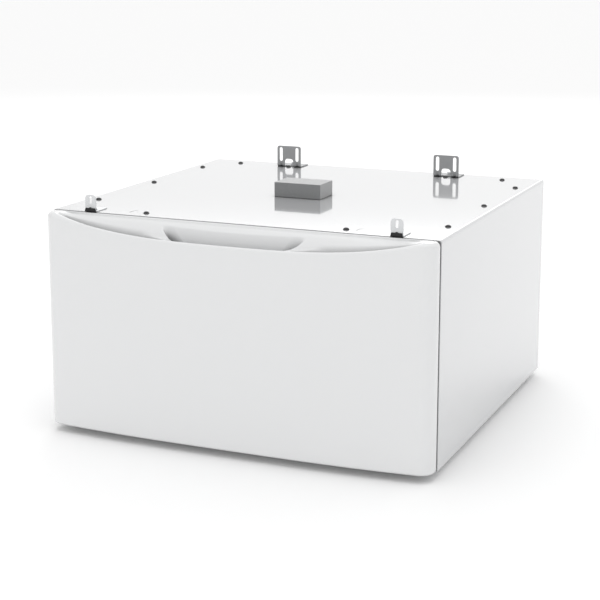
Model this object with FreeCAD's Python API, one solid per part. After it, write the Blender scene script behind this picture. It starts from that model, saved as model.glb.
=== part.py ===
"""Laundry pedestal: a painted steel base cabinet with one storage drawer.

Millimetres.  +Z is up, the drawer opens towards -Y, +X is the right-hand side.
The origin is on the floor, under the centre of the overall box.
"""
import FreeCAD, Part
import math
import os

V = FreeCAD.Vector

# ---------------------------------------------------------------- cabinet
CABINET_WIDTH = 686.0
CABINET_DEPTH = 626.0
CABINET_HEIGHT = 368.0
FOOT_CLEARANCE = 13.0        # floor to the underside of the cabinet
SHEET = 1.0                  # cabinet steel
BEND = 4.5                   # outside radius of the folds between top and sides
FRONT_EDGE = 1.6             # outside radius of the folds at the two open ends
END_FLANGE = 18.0            # flanges turned inwards round the front and rear
TOP_END_FLANGE = 14.0
FLOOR_FLANGE = 18.0          # flanges turned inwards along the bottom of the sides
SCREW_HEAD = 2.0             # height of the flat screw heads on the rear panel

# ---------------------------------------------------------------- drawer front
PANEL_SIDE_INSET = 0.3       # each end of the front stands this far inside the cabinet's side
PANEL_PROUD = 47.0           # how far the bowed front stands out at its centre
PANEL_BOW = 10.0             # how much of that is bow
PANEL_BOW_POWER = 3.0        # above 2, the bow is flatter in its middle and rounder at its ends
PANEL_BOW_END = 36.0         # the bow is measured this far in from the ends of the front
PANEL_CORNER = 24.0          # plan radius of the two upright corners
PANEL_EDGE = 6.0             # radius along the top edge
PANEL_FOOT_EDGE = 5.0        # radius along the bottom edge
PANEL_TOP_INSET = 0.5        # the front stops this far below the top of the cabinet
PANEL_WALL = 2.6
PANEL_GAP = 4.0              # back of the panel to the front of the cabinet
SCOOP_END = 19.0             # the handle scoop fades out this far from the ends
SCOOP_DEPTH = 29.0           # fall of the scoop's lip at the centre
SCOOP_RIDGE = 3.0            # flat land left behind the scoop
SCOOP_LIP = 3.4              # from the crest of the lip to the front face
POCKET_HALF = 128.0          # half length of the finger pocket at its mouth
POCKET_FLOOR_HALF = 108.0
POCKET_BACK = 16.0           # in front of the cabinet face
POCKET_LIP = 7.0             # front of the pocket behind the bowed face
POCKET_DEPTH = 46.0
POCKET_RADIUS = 9.0
BACKING = 1.0                # steel plate that closes the hollow front
BACKING_INSET = 5.0
BOSS_RADIUS = 5.0
BOSS_BORE = 24.0
PANEL_SCREW = 2.0            # radius of the screws that hold the front
BUMPER_RADIUS = 4.5
BUMPER_CLEAR = 0.3

# ---------------------------------------------------------------- drawer box
DRAWER_SHEET = 1.0
DRAWER_RISE = 16.0           # underside of the drawer above the base frame
DRAWER_HEADROOM = 33.0       # rim of the drawer below the top rails
DRAWER_REAR_SPACE = 61.0     # back of the drawer to the back of the cabinet
DRAWER_RIM = 8.0             # rolled rim along the top edges
DRAWER_FLANGE = 12.0

# ---------------------------------------------------------------- slides
SLIDE_DEPTH = 12.7
SLIDE_HEIGHT = 45.0
SLIDE_START = 8.0            # behind the cabinet face
SLIDE_END = 3.0              # rear of the slides behind the back of the drawer
SLIDE_RISE = 115.0           # centre of the slides above the underside of the drawer
SLIDE_CLEAR = 1.0            # slides inside the cabinet's front opening
SLIDE_STEEL = 1.2
BALL_OUTER = 3.4
BALL_INNER = 3.0
BALL_CLEAR = 0.2
CAGE_LENGTH = 300.0
BALLS_PER_ROW = 6

# ---------------------------------------------------------------- frame
RAIL_STEEL = 1.2
RAIL_DROP = 22.0
TOP_SIDE_RAIL = 36.0
BASE_STEEL = 1.5
BASE_LEG = 20.0
BASE_CROSS = 52.0
BASE_SIDE = 40.0
POST_WIDTH = 40.0
REAR_SHEET = 0.8
REAR_RECESS = 3.0            # depth of the pressed panels in the rear
REAR_RAMP = 10.0
REAR_EDGE = 0.6              # play between the rear sheet and the cabinet
REAR_SCREW_END = 50.0        # first and last screw of each side row, from the cabinet's ends

# ---------------------------------------------------------------- levelling feet
FOOT_INSET = 58.0            # centre of a foot to the cabinet's side
FOOT_PAD_RADIUS = 19.0
FOOT_PAD_HEIGHT = 8.0
FOOT_STUD = 9.5              # diameter
FOOT_STUD_CLEAR = 2.0        # top of the stud below the drawer
FOOT_NUT = 14.0              # across flats
FOOT_NUT_GAP = 0.4           # lock nut above the pad when the foot is screwed right in
RUNNING = 0.05               # radial running clearance

# ---------------------------------------------------------------- top hardware
TOP_SCREW_HEAD = 9.0
TOP_SCREW_RISE = 2.6
TOP_SCREW_SHANK = 4.0
SIDE_SCREW_INSET = 24.5      # from the cabinet's side
SIDE_SCREW_FIRST = 108.0     # first screw of each side row, behind the cabinet face
SIDE_SCREW_LAST = 116.0      # last screw of each side row, from the cabinet's back
REAR_SCREW_INSET = (71.0, 38.0)
FRONT_SCREWS = (178.0, 24.0)
SLITS_X = (-208.0, 196.0)    # both hook to the right
SLIT_Y = (20.0, 33.0)
SLIT_WIDTH = 1.5
SLIT_RADIUS = 6.0

REAR_BRACKET_X = 163.0
REAR_BRACKET_INSET = 44.0    # face of the plate to the cabinet's back
REAR_BRACKET_WIDTH = 50.0
REAR_BRACKET_HEIGHT = 41.5
REAR_BRACKET_FOOT = 39.0
REAR_BRACKET_STEEL = 1.8
REAR_SLOT_WIDTH = 7.5
REAR_SLOT_SPREAD = 34.0
REAR_SLOT_Z = (11.0, 38.5)
REAR_WINDOW = (18.5, 16.0)

FRONT_BRACKET_INSET = 72.5   # centre of the bracket to the cabinet's side
FRONT_BRACKET_Y = 0.5
FRONT_BRACKET_WIDTH = 20.5
FRONT_BRACKET_HEIGHT = 28.5
FRONT_BRACKET_FOOT = 37.0
FRONT_BRACKET_STEEL = 1.5
FRONT_SLOT_WIDTH = 6.0
FRONT_SLOT_Z = (13.0, 25.5)
FRONT_PAD_HEIGHT = 6.0

FOAM_SIZE = (88.0, 58.0, 26.0)
FOAM_CENTRE = (-5.5, 285.0)

# ---------------------------------------------------------------- worked out
HALF_W = CABINET_WIDTH / 2
PANEL_HALF = HALF_W - PANEL_SIDE_INSET
PANEL_BOW_HALF = PANEL_HALF - PANEL_BOW_END
SCOOP_HALF = PANEL_HALF - SCOOP_END
Y0 = PANEL_PROUD - (PANEL_PROUD + CABINET_DEPTH + SCREW_HEAD) / 2   # cabinet face
Y1 = Y0 + CABINET_DEPTH
Z0 = FOOT_CLEARANCE
Z1 = Z0 + CABINET_HEIGHT
PANEL_BACK = Y0 - PANEL_GAP
POCKET_FRONT = PANEL_PROUD - POCKET_LIP
PANEL_Z0 = Z0
PANEL_Z1 = Z1 - PANEL_TOP_INSET
SLIDE_FACE = HALF_W - END_FLANGE - SLIDE_CLEAR  # inside face of the posts
DRAWER_HALF = SLIDE_FACE - SLIDE_DEPTH          # outside face of the drawer sides
DRAWER_LENGTH = CABINET_DEPTH - DRAWER_REAR_SPACE
SLIDE_LENGTH = DRAWER_LENGTH + SLIDE_END - SLIDE_START
UNDER_TOP = Z1 - SHEET
SIDE_INNER = HALF_W - SHEET
REAR_INNER = Y1 - SHEET - REAR_SHEET            # front face of the rear panel
RAIL_INNER = HALF_W - SHEET - TOP_SIDE_RAIL
BASE_Z = Z0 + SHEET
DRAWER_FLOOR = BASE_Z + BASE_LEG + DRAWER_RISE
DRAWER_TOP = UNDER_TOP - RAIL_DROP - DRAWER_HEADROOM
SLIDE_Z = DRAWER_FLOOR + SLIDE_RISE
FOOT_X = HALF_W - FOOT_INSET
FOOT_STUD_TOP = DRAWER_FLOOR - FOOT_STUD_CLEAR
REAR_BRACKET_Y = CABINET_DEPTH - REAR_BRACKET_INSET
FRONT_BRACKET_X = HALF_W - FRONT_BRACKET_INSET
BASE_INNER = SIDE_INNER - BASE_SIDE
REAR_RAIL_Y = CABINET_DEPTH - 56.0              # from the cabinet face
FRONT_RAIL = (1.8, 46.0)

nodes = {}


# ---------------------------------------------------------------- helpers
def block(x0, x1, y0, y1, z0, z1):
    """Box between two corners, given in any order."""
    x0, x1 = sorted((x0, x1))
    y0, y1 = sorted((y0, y1))
    z0, z1 = sorted((z0, z1))
    return Part.makeBox(x1 - x0, y1 - y0, z1 - z0, V(x0, y0, z0))


def rod(x, y, z, radius, length, axis=V(0, 0, 1)):
    return Part.makeCylinder(radius, length, V(x, y, z), axis)


def hexagon(x, y, z, flats, height):
    radius = flats / 2 / math.cos(math.pi / 6)
    corners = [V(x + radius * math.cos(k * math.pi / 3), y + radius * math.sin(k * math.pi / 3), z)
               for k in range(7)]
    return Part.Face(Part.makePolygon(corners)).extrude(V(0, 0, height))


def dome(x, y, z, radius, rise):
    """Low domed screw head that stands on the plane z."""
    sphere = (radius * radius + rise * rise) / (2 * rise)
    ball = Part.makeSphere(sphere, V(x, y, z + rise - sphere))
    return ball.common(rod(x, y, z, radius + 1, rise + 1))


def union(shapes):
    shapes = list(shapes)
    if len(shapes) == 1:
        return shapes[0]
    return shapes[0].fuse(shapes[1:]).removeSplitter()


def cut(shape, tools):
    return shape.cut(list(tools))


def mirrored(shape):
    return shape.mirror(V(0, 0, 0), V(1, 0, 0))


def pair(name, right):
    """Store a right-hand piece and its left-hand twin."""
    nodes[name + "_right"] = right
    nodes[name + "_left"] = mirrored(right)


def both(shapes):
    return list(shapes) + [mirrored(shape) for shape in shapes]


def edges_where(shape, test):
    return [edge for edge in shape.Edges if test(edge)]


def is_along(edge, axis):
    if not isinstance(edge.Curve, Part.Line):
        return False
    return abs(abs(edge.Curve.Direction.dot(axis)) - 1) < 1e-6


def prism_x(points, x0, x1):
    """Extrude a closed outline of (y, z) points from x0 to x1."""
    loop = [V(x0, y, z) for y, z in points]
    return Part.Face(Part.makePolygon(loop + loop[:1])).extrude(V(x1 - x0, 0, 0))


def prism_y(points, y0, y1):
    """Extrude a closed outline of (x, z) points from y0 to y1."""
    loop = [V(x, y0, z) for x, z in points]
    return Part.Face(Part.makePolygon(loop + loop[:1])).extrude(V(0, y1 - y0, 0))


def slot_y(x, y0, y1, z0, z1, width):
    """Upright slot with round ends, cut through along Y."""
    radius = width / 2
    body = block(x - radius, x + radius, y0, y1, z0 + radius, z1 - radius)
    ends = [rod(x, y0, z, radius, y1 - y0, V(0, 1, 0)) for z in (z0 + radius, z1 - radius)]
    return union([body] + ends)


# ---------------------------------------------------------------- cabinet shell
def folded_wrapper():
    """Top and both sides in one sheet, with flanges round the open ends."""
    outer = block(-HALF_W, HALF_W, Y0, Y1, Z0, Z1)
    inner = block(-SIDE_INNER, SIDE_INNER, Y0 + SHEET, Y1 - SHEET, BASE_Z, UNDER_TOP)

    def roof_edges(solid, top):
        return edges_where(solid, lambda e: is_along(e, V(0, 1, 0)) and e.BoundBox.ZMax > top - 1)

    def end_edges(solid, ys, bottom):
        return edges_where(solid, lambda e: any(abs(e.BoundBox.YMin - y) < 0.01
                                                and abs(e.BoundBox.YMax - y) < 0.01 for y in ys)
                           and e.BoundBox.ZMax > bottom + 1)

    outer = outer.makeFillet(BEND, roof_edges(outer, Z1))
    outer = outer.makeFillet(FRONT_EDGE, end_edges(outer, (Y0, Y1), Z0))
    inner = inner.makeFillet(BEND - SHEET, roof_edges(inner, UNDER_TOP))
    inner = inner.makeFillet(FRONT_EDGE - SHEET,
                             end_edges(inner, (Y0 + SHEET, Y1 - SHEET), BASE_Z))
    window = HALF_W - END_FLANGE
    openings = [inner,
                block(-window, window, Y0 - 1, Y1 + 1, Z0 - 1, Z1 - TOP_END_FLANGE),
                block(-(HALF_W - FLOOR_FLANGE), HALF_W - FLOOR_FLANGE,
                      Y0 - 1, Y1 + 1, Z0 - 1, BASE_Z + 1)]
    return cut(outer, openings)


def top_screw_places():
    first, last = SIDE_SCREW_FIRST, CABINET_DEPTH - SIDE_SCREW_LAST
    places = [(HALF_W - SIDE_SCREW_INSET, y) for y in (first, (first + last) / 2, last)]
    places.append((HALF_W - REAR_SCREW_INSET[0], CABINET_DEPTH - REAR_SCREW_INSET[1]))
    places += [FRONT_SCREWS, (REAR_BRACKET_X, REAR_BRACKET_Y - 2.0)]
    return [(sign * x, Y0 + y) for x, y in places for sign in (1, -1)]


def bracket_bolt_places():
    return [(sign * REAR_BRACKET_X, Y0 + REAR_BRACKET_Y + 25.0) for sign in (1, -1)]


def front_bolt_places():
    return [(sign * FRONT_BRACKET_X, Y0 + FRONT_BRACKET_Y + 14.0) for sign in (1, -1)]


def top_holes():
    depth = 30.0
    holes = [rod(x, y, Z1 - depth, TOP_SCREW_SHANK / 2 + RUNNING, depth + 3)
             for x, y in top_screw_places() + front_bolt_places()]
    holes += [rod(x, y, Z1 - depth, 3.0 + RUNNING, depth + 3) for x, y in bracket_bolt_places()]
    return holes


def hooked_slit(x):
    """Short slit near the front edge whose rear end hooks to the right."""
    half = SLIT_WIDTH / 2
    z0, z1 = UNDER_TOP - 1, Z1 + 1
    y0, y1 = Y0 + SLIT_Y[0], Y0 + SLIT_Y[1]
    centre = x + SLIT_RADIUS
    straight = block(x - half, x + half, y0, y1, z0, z1)
    ring = cut(rod(centre, y1, z0, SLIT_RADIUS + half, z1 - z0),
               [rod(centre, y1, z0, SLIT_RADIUS - half, z1 - z0)])
    corner = block(x - 2, centre, y1, y1 + 10, z0, z1)
    return union([straight, ring.common(corner)])


def rear_screw_places():
    side_x = HALF_W - END_FLANGE / 2
    places = [(side_x, z) for z in (Z0 + REAR_SCREW_END, (Z0 + Z1) / 2, Z1 - REAR_SCREW_END)]
    places += [(150.0, Z1 - TOP_END_FLANGE / 2), (150.0, BASE_Z + 10.0)]
    return [(sign * x, z) for x, z in places for sign in (1, -1)]


def rear_holes():
    return [rod(x, Y1 - 12, z, 2.0 + RUNNING, 14, V(0, 1, 0)) for x, z in rear_screw_places()]


def cabinet_shell():
    slits = [hooked_slit(x) for x in SLITS_X]
    nodes["cabinet_wrapper"] = cut(folded_wrapper(), top_holes() + slits + rear_holes())

    x = SIDE_INNER - REAR_EDGE
    sheet = block(-x, x, REAR_INNER, REAR_INNER + REAR_SHEET, BASE_Z + REAR_EDGE,
                  UNDER_TOP - REAR_EDGE)
    shoulders = edges_where(sheet, lambda e: is_along(e, V(0, 1, 0)) and e.BoundBox.ZMin > Z0 + 9)
    sheet = sheet.makeFillet(BEND, shoulders)
    halves = ((-x + 41.0, -10.0), (10.0, x - 41.0))
    presses = [pressed_panel(x0, x1, REAR_INNER, 0.0) for x0, x1 in halves]
    hollows = [pressed_panel(x0, x1, REAR_INNER + REAR_SHEET, REAR_SHEET) for x0, x1 in halves]
    nodes["rear_panel"] = cut(union([sheet] + presses), hollows + rear_holes())


def pressed_panel(x0, x1, y, shrink):
    """Shallow tapered pressing in the rear sheet, its mouth at y and its floor in front."""
    def loop(inset, level):
        a, b = x0 + inset, x1 - inset
        c, d = Z0 + 65.0 + inset, Z1 - 55.0 - inset
        return Part.makePolygon([V(a, level, c), V(b, level, c), V(b, level, d), V(a, level, d),
                                 V(a, level, c)])

    return Part.makeLoft([loop(shrink, y), loop(shrink + REAR_RAMP, y - REAR_RECESS)], True, True)


# ---------------------------------------------------------------- inner frame
def frame_members():
    z1, z0 = UNDER_TOP, UNDER_TOP - RAIL_DROP
    t = RAIL_STEEL
    holes = top_holes()

    front = [block(-RAIL_INNER, RAIL_INNER, Y0 + FRONT_RAIL[0], Y0 + FRONT_RAIL[1], z1 - t, z1),
             block(-RAIL_INNER, RAIL_INNER, Y0 + FRONT_RAIL[1] - t, Y0 + FRONT_RAIL[1], z0, z1),
             block(-RAIL_INNER, RAIL_INNER, Y0 + FRONT_RAIL[0], Y0 + FRONT_RAIL[0] + t, z0 + 8, z1)]
    nodes["top_front_rail"] = cut(union(front), holes)

    y0 = Y0 + REAR_RAIL_Y
    rear = [block(-RAIL_INNER, RAIL_INNER, y0, REAR_INNER, z1 - t, z1),
            block(-RAIL_INNER, RAIL_INNER, y0, y0 + t, z0, z1),
            block(-RAIL_INNER, RAIL_INNER, REAR_INNER - t, REAR_INNER, z0, z1)]
    nodes["top_rear_rail"] = cut(union(rear), holes + rear_holes())

    y0 = Y0 + FRONT_EDGE
    bend_x, bend_z = SIDE_INNER - BEND + SHEET, z1 - BEND + SHEET
    side = [block(RAIL_INNER, bend_x, y0, REAR_INNER, z1 - t, z1),
            block(SIDE_INNER - t, SIDE_INNER, y0, REAR_INNER, z0, bend_z),
            prism_y([(bend_x, z1), (SIDE_INNER, bend_z), (SIDE_INNER - t, bend_z),
                     (bend_x, z1 - t)], y0, REAR_INNER)]
    pair("top_side_rail", cut(union(side), holes + rear_holes()))

    z0, z1, t = BASE_Z, BASE_Z + BASE_LEG, BASE_STEEL
    y0, y1 = Y0 + FRONT_EDGE, REAR_INNER
    channel = [block(BASE_INNER, SIDE_INNER, y0, y1, z0, z0 + t),
               block(BASE_INNER, BASE_INNER + t, y0, y1, z0, z1),
               block(SIDE_INNER - t, SIDE_INNER, y0, y1, z0, z1)]
    pair("base_side_channel", cut(union(channel), rear_holes()))

    stud_holes = [rod(x, y, z0 - 1, FOOT_STUD / 2 + 0.4, t + 2) for x, y in foot_places().values()]
    for name, ya, yb in (("front", y0, y0 + BASE_CROSS),
                         ("rear", REAR_INNER - BASE_CROSS, REAR_INNER)):
        cross = [block(-BASE_INNER, BASE_INNER, ya, yb, z0, z0 + t),
                 block(-BASE_INNER, BASE_INNER, ya, ya + t, z0, z1),
                 block(-BASE_INNER, BASE_INNER, yb - t, yb, z0, z1)]
        nodes["base_" + name + "_crossmember"] = cut(union(cross), stud_holes + rear_holes())


def foot_places():
    front = Y0 + FRONT_EDGE + BASE_CROSS / 2
    rear = REAR_INNER - BASE_CROSS / 2
    return {"front_left": (-FOOT_X, front), "front_right": (FOOT_X, front),
            "rear_left": (-FOOT_X, rear), "rear_right": (FOOT_X, rear)}


def post_places():
    """Centres of the two uprights that carry each slide, measured from the face."""
    return {"front": SLIDE_START + 34.0, "rear": SLIDE_START + SLIDE_LENGTH - 44.0}


def slide_posts():
    t = RAIL_STEEL
    outside = SIDE_INNER - BASE_STEEL
    z0, z1 = BASE_Z + BASE_STEEL, UNDER_TOP - RAIL_STEEL
    for name, centre in post_places().items():
        y0, y1 = Y0 + centre - POST_WIDTH / 2, Y0 + centre + POST_WIDTH / 2
        post = [block(SLIDE_FACE, SLIDE_FACE + t, y0, y1, z0, z1),
                block(SLIDE_FACE, outside, y0, y0 + t, z0, z1 - BEND),
                block(SLIDE_FACE, outside, y1 - t, y1, z0, z1 - BEND)]
        pair("slide_post_" + name, cut(union(post), slide_fixing_holes()))


# ---------------------------------------------------------------- levelling feet
def levelling_feet():
    lock_nuts = []
    weld_nuts = []
    web_top = BASE_Z + BASE_STEEL
    for name, (x, y) in foot_places().items():
        flare = 3.0
        pad = union([rod(x, y, 0, FOOT_PAD_RADIUS, 3.5),
                     Part.makeCone(FOOT_PAD_RADIUS, FOOT_PAD_RADIUS - 2 * flare,
                                   FOOT_PAD_HEIGHT - 3.5, V(x, y, 3.5))])
        socket = 3.0
        nodes["foot_pad_" + name] = cut(pad, [rod(x, y, socket, FOOT_STUD / 2, FOOT_PAD_HEIGHT)])
        stud = rod(x, y, socket, FOOT_STUD / 2, FOOT_STUD_TOP - socket)
        tip = edges_where(stud, lambda e: e.BoundBox.ZMin > FOOT_STUD_TOP - 0.1)
        nodes["foot_stud_" + name] = stud.makeChamfer(1.0, tip)
        bore = rod(x, y, 0, FOOT_STUD / 2 + RUNNING, FOOT_STUD_TOP)
        lock_z = FOOT_PAD_HEIGHT + FOOT_NUT_GAP
        lock_nuts.append(cut(hexagon(x, y, lock_z, FOOT_NUT, BASE_Z - lock_z), [bore]))
        weld_nuts.append(cut(hexagon(x, y, web_top, FOOT_NUT, 8.0), [bore]))
    nodes["foot_lock_nuts"] = Part.makeCompound(lock_nuts)
    nodes["foot_weld_nuts"] = Part.makeCompound(weld_nuts)


# ---------------------------------------------------------------- top hardware
def top_hardware():
    screws = []
    for x, y in top_screw_places():
        head = dome(x, y, Z1, TOP_SCREW_HEAD / 2, TOP_SCREW_RISE)
        shank = rod(x, y, Z1 - 12.0, TOP_SCREW_SHANK / 2, 12.5)
        screws.append(union([head, shank]))
    nodes["top_screws"] = Part.makeCompound(screws)
    pair("rear_bracket", rear_bracket())
    pair("front_bracket", front_bracket())

    bolts = []
    for x, y in bracket_bolt_places():
        seat = Z1 + REAR_BRACKET_STEEL
        bolts.append(union([rod(x, y, seat, 6.0, 1.0), hexagon(x, y, seat + 0.9, 9.0, 3.6),
                            rod(x, y, Z1 - 16.0, 3.0, 18.0 + REAR_BRACKET_STEEL)]))
    nodes["rear_bracket_bolts"] = Part.makeCompound(bolts)

    small = []
    for x, y in front_bolt_places():
        seat = Z1 + FRONT_BRACKET_STEEL
        small.append(union([dome(x, y, seat, 3.6, 1.8),
                            rod(x, y, Z1 - 12.0, TOP_SCREW_SHANK / 2, 12.4 + FRONT_BRACKET_STEEL)]))
    nodes["front_bracket_screws"] = Part.makeCompound(small)

    x, y, t = FRONT_BRACKET_X, Y0 + FRONT_BRACKET_Y, FRONT_BRACKET_STEEL
    half = FRONT_BRACKET_WIDTH / 2
    thick = 2.4
    z = Z1 + FRONT_PAD_HEIGHT
    outline = [(x - half - 0.3, Z1 + 0.3), (x + half + 0.3, Z1 + 0.3), (x + half, z), (x + 3.0, z),
               (x + 1.2, z + 1.5), (x - 1.2, z + 1.5), (x - 3.0, z), (x - half, z)]
    pads = [prism_y(outline, y - thick, y)]
    nodes["front_bracket_pads"] = Part.makeCompound(both(pads))

    dx, dy, dz = FOAM_SIZE
    cx, cy = FOAM_CENTRE
    foam = block(cx - dx / 2, cx + dx / 2, Y0 + cy - dy / 2, Y0 + cy + dy / 2, Z1, Z1 + dz)
    nodes["foam_block"] = foam.makeFillet(0.8, foam.Edges)


def angle_bracket(x, y, width, height, foot, steel, corner):
    """Plate that stands on the top at y with its foot turned to the rear."""
    bend = 2.0 * steel
    x0, x1 = x - width / 2, x + width / 2
    profile = [V(x0, y, Z1 + bend), V(x0, y, Z1 + height), V(x0, y + steel, Z1 + height),
               V(x0, y + steel, Z1 + bend), V(x0, y + bend, Z1 + steel),
               V(x0, y + foot, Z1 + steel), V(x0, y + foot, Z1), V(x0, y + bend, Z1)]
    diagonal = math.sqrt(0.5)
    centre_y, centre_z = y + bend, Z1 + bend
    inner = bend - steel
    inner_mid = V(x0, centre_y - inner * diagonal, centre_z - inner * diagonal)
    outer_mid = V(x0, centre_y - bend * diagonal, centre_z - bend * diagonal)
    edges = [Part.LineSegment(profile[0], profile[1]).toShape(),
             Part.LineSegment(profile[1], profile[2]).toShape(),
             Part.LineSegment(profile[2], profile[3]).toShape(),
             Part.Arc(profile[3], inner_mid, profile[4]).toShape(),
             Part.LineSegment(profile[4], profile[5]).toShape(),
             Part.LineSegment(profile[5], profile[6]).toShape(),
             Part.LineSegment(profile[6], profile[7]).toShape(),
             Part.Arc(profile[7], outer_mid, profile[0]).toShape()]
    solid = Part.Face(Part.Wire(edges)).extrude(V(width, 0, 0))
    upper = edges_where(solid, lambda e: is_along(e, V(0, 1, 0)) and e.BoundBox.ZMin > Z1 + height - 1)
    tail = edges_where(solid, lambda e: is_along(e, V(0, 0, 1)) and e.BoundBox.YMin > y + foot - 1)
    return solid.makeFillet(corner, upper).makeFillet(2.0, tail)


def rear_bracket():
    x, y, t = REAR_BRACKET_X, Y0 + REAR_BRACKET_Y, REAR_BRACKET_STEEL
    plate = angle_bracket(x, y, REAR_BRACKET_WIDTH, REAR_BRACKET_HEIGHT, REAR_BRACKET_FOOT, t, 4.5)
    gussets = []
    cuts = []
    for sign in (-1, 1):
        slot_x = x + sign * REAR_SLOT_SPREAD / 2
        cuts.append(slot_y(slot_x, y - 2, y + t + 2, Z1 + REAR_SLOT_Z[0], Z1 + REAR_SLOT_Z[1],
                           REAR_SLOT_WIDTH))
        rise = 8.0
        gussets.append(prism_x([(y + 0.5, Z1 + rise), (y + rise, Z1 + 0.5), (y + 0.5, Z1 + 0.5)],
                               slot_x - 3.0, slot_x + 3.0))
        cuts.append(Part.makeSphere(3.2, V(slot_x, y, Z1 + 1.0)))
    width, height = REAR_WINDOW
    window = block(x - width / 2, x + width / 2, y - 8, y + 9, Z1 - 1, Z1 + height)
    crown = edges_where(window, lambda e: is_along(e, V(0, 1, 0)) and e.BoundBox.ZMin > Z1 + 1)
    cuts.append(window.makeFillet(6.0, crown))
    cuts += [rod(bx, by, Z1 - 1, 3.0 + RUNNING, 5) for bx, by in bracket_bolt_places()]
    return cut(union([plate] + gussets), cuts)


def front_bracket():
    x, y, t = FRONT_BRACKET_X, Y0 + FRONT_BRACKET_Y, FRONT_BRACKET_STEEL
    plate = angle_bracket(x, y, FRONT_BRACKET_WIDTH, FRONT_BRACKET_HEIGHT, FRONT_BRACKET_FOOT, t, 6.5)
    cuts = [slot_y(x, y - 2, y + t + 2, Z1 + FRONT_SLOT_Z[0], Z1 + FRONT_SLOT_Z[1],
                   FRONT_SLOT_WIDTH)]
    cuts += [rod(bx, by, Z1 - 1, TOP_SCREW_SHANK / 2 + RUNNING, 5) for bx, by in front_bolt_places()]
    return cut(plate, cuts)


# ---------------------------------------------------------------- drawer front
def bow(x):
    """How far the front face stands in front of the cabinet face at x."""
    return PANEL_PROUD - PANEL_BOW * abs(x / PANEL_BOW_HALF) ** PANEL_BOW_POWER


def panel_plan(inset, back, z0, z1, corner):
    """Upright prism with a bowed front and round corners, drawn in by inset."""
    half = PANEL_HALF - inset
    shares = [k / 5.0 for k in range(-5, 6)]
    points = [V(half * share, Y0 - bow(half * share) + inset, z0) for share in shares]
    front = Part.BSplineCurve()
    front.interpolate(points)
    edges = [front.toShape(),
             Part.LineSegment(points[-1], V(half, back, z0)).toShape(),
             Part.LineSegment(V(half, back, z0), V(-half, back, z0)).toShape(),
             Part.LineSegment(V(-half, back, z0), points[0]).toShape()]
    solid = Part.Face(Part.Wire(edges)).extrude(V(0, 0, z1 - z0))
    uprights = edges_where(solid, lambda e: is_along(e, V(0, 0, 1)) and e.BoundBox.YMax < back - 1)
    room = back - points[0].y
    return solid.makeFillet(min(corner, 0.9 * room), uprights)


def scoop_depth(x):
    return SCOOP_DEPTH * (1 - abs(x / SCOOP_HALF) ** 3)


def scoop(grow):
    """The space above the handle scoop, made larger all round by grow."""
    over = 8.0
    stations = [k / 6.0 for k in range(-6, 7)]
    reach = SCOOP_HALF + 5.0
    sections = []
    for station in stations:
        x = reach * station
        depth = scoop_depth(x)
        span = bow(x) - PANEL_GAP - SCOOP_RIDGE
        start = PANEL_BACK - SCOOP_RIDGE + grow * 2.5
        face = Y0 - bow(x)
        drop = PANEL_Z1 - grow

        def at(share, fall):
            return V(x, start - share * span, drop - fall * depth)

        curve = [V(x, start, drop), at(0.06, 0.10), at(0.30, 0.42), at(0.60, 0.82),
                 at(0.80, 1.02), V(x, face + SCOOP_LIP, drop - depth),
                 V(x, face + 0.9, drop - depth - 1.2), V(x, face - 0.6, drop - depth - 4.0)]
        spline = Part.BSplineCurve()
        spline.interpolate(curve)
        outside = face - 14.0
        rim = [V(x, face - 0.6, drop - depth - 4.0), V(x, outside, drop - depth - 4.0),
               V(x, outside, PANEL_Z1 + over), V(x, start, PANEL_Z1 + over), V(x, start, drop)]
        edges = [spline.toShape()]
        edges += [Part.LineSegment(a, b).toShape() for a, b in zip(rim, rim[1:])]
        sections.append(Part.Wire(edges))
    return Part.makeLoft(sections, True, False)


def rounded_plan(half, y0, y1, z, radius):
    """Closed loop of four lines and four arcs in a level plane."""
    k = radius * (1 - math.sqrt(0.5))
    corners = [(-half, y0, 1, 1), (half, y0, -1, 1), (half, y1, -1, -1), (-half, y1, 1, -1)]
    starts = []
    for index, (x, y, sx, sy) in enumerate(corners):
        on_y = V(x, y + sy * radius, z)
        on_x = V(x + sx * radius, y, z)
        middle = V(x + sx * k, y + sy * k, z)
        first, last = (on_y, on_x) if index % 2 == 0 else (on_x, on_y)
        starts.append((first, middle, last))
    edges = []
    for index, (first, middle, last) in enumerate(starts):
        edges.append(Part.Arc(first, middle, last).toShape())
        following = starts[(index + 1) % 4][0]
        edges.append(Part.LineSegment(last, following).toShape())
    return Part.Wire(edges)


def finger_pocket(grow):
    y0, y1 = Y0 - POCKET_FRONT - grow, Y0 - POCKET_BACK + grow
    top = PANEL_Z1 - 2.0
    bottom = PANEL_Z1 - POCKET_DEPTH - grow
    radius = POCKET_RADIUS + grow
    mouth = rounded_plan(POCKET_HALF + grow, y0, y1, top, radius)
    floor = rounded_plan(POCKET_FLOOR_HALF + grow, y0 + 1.5, y1 - 1.5, bottom, radius)
    return Part.makeLoft([mouth, floor], True, True)


def boss_places():
    side = DRAWER_HALF - 15.3
    low, high = DRAWER_FLOOR + 22.0, DRAWER_TOP - 25.0
    return [(sign * x, z) for x, z in ((side, low), (side, high), (140.0, low))
            for sign in (1, -1)]


def panel_boss(x, z):
    """Hollow boss from the open back of the front to the inside of its bowed face."""
    length = bow(x) - PANEL_GAP - PANEL_WALL / 2
    back = V(x, PANEL_BACK, z)
    bore = Part.makeCylinder(PANEL_SCREW, BOSS_BORE, back, V(0, -1, 0))
    return cut(Part.makeCylinder(BOSS_RADIUS, length, back, V(0, -1, 0)), [bore])


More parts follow.
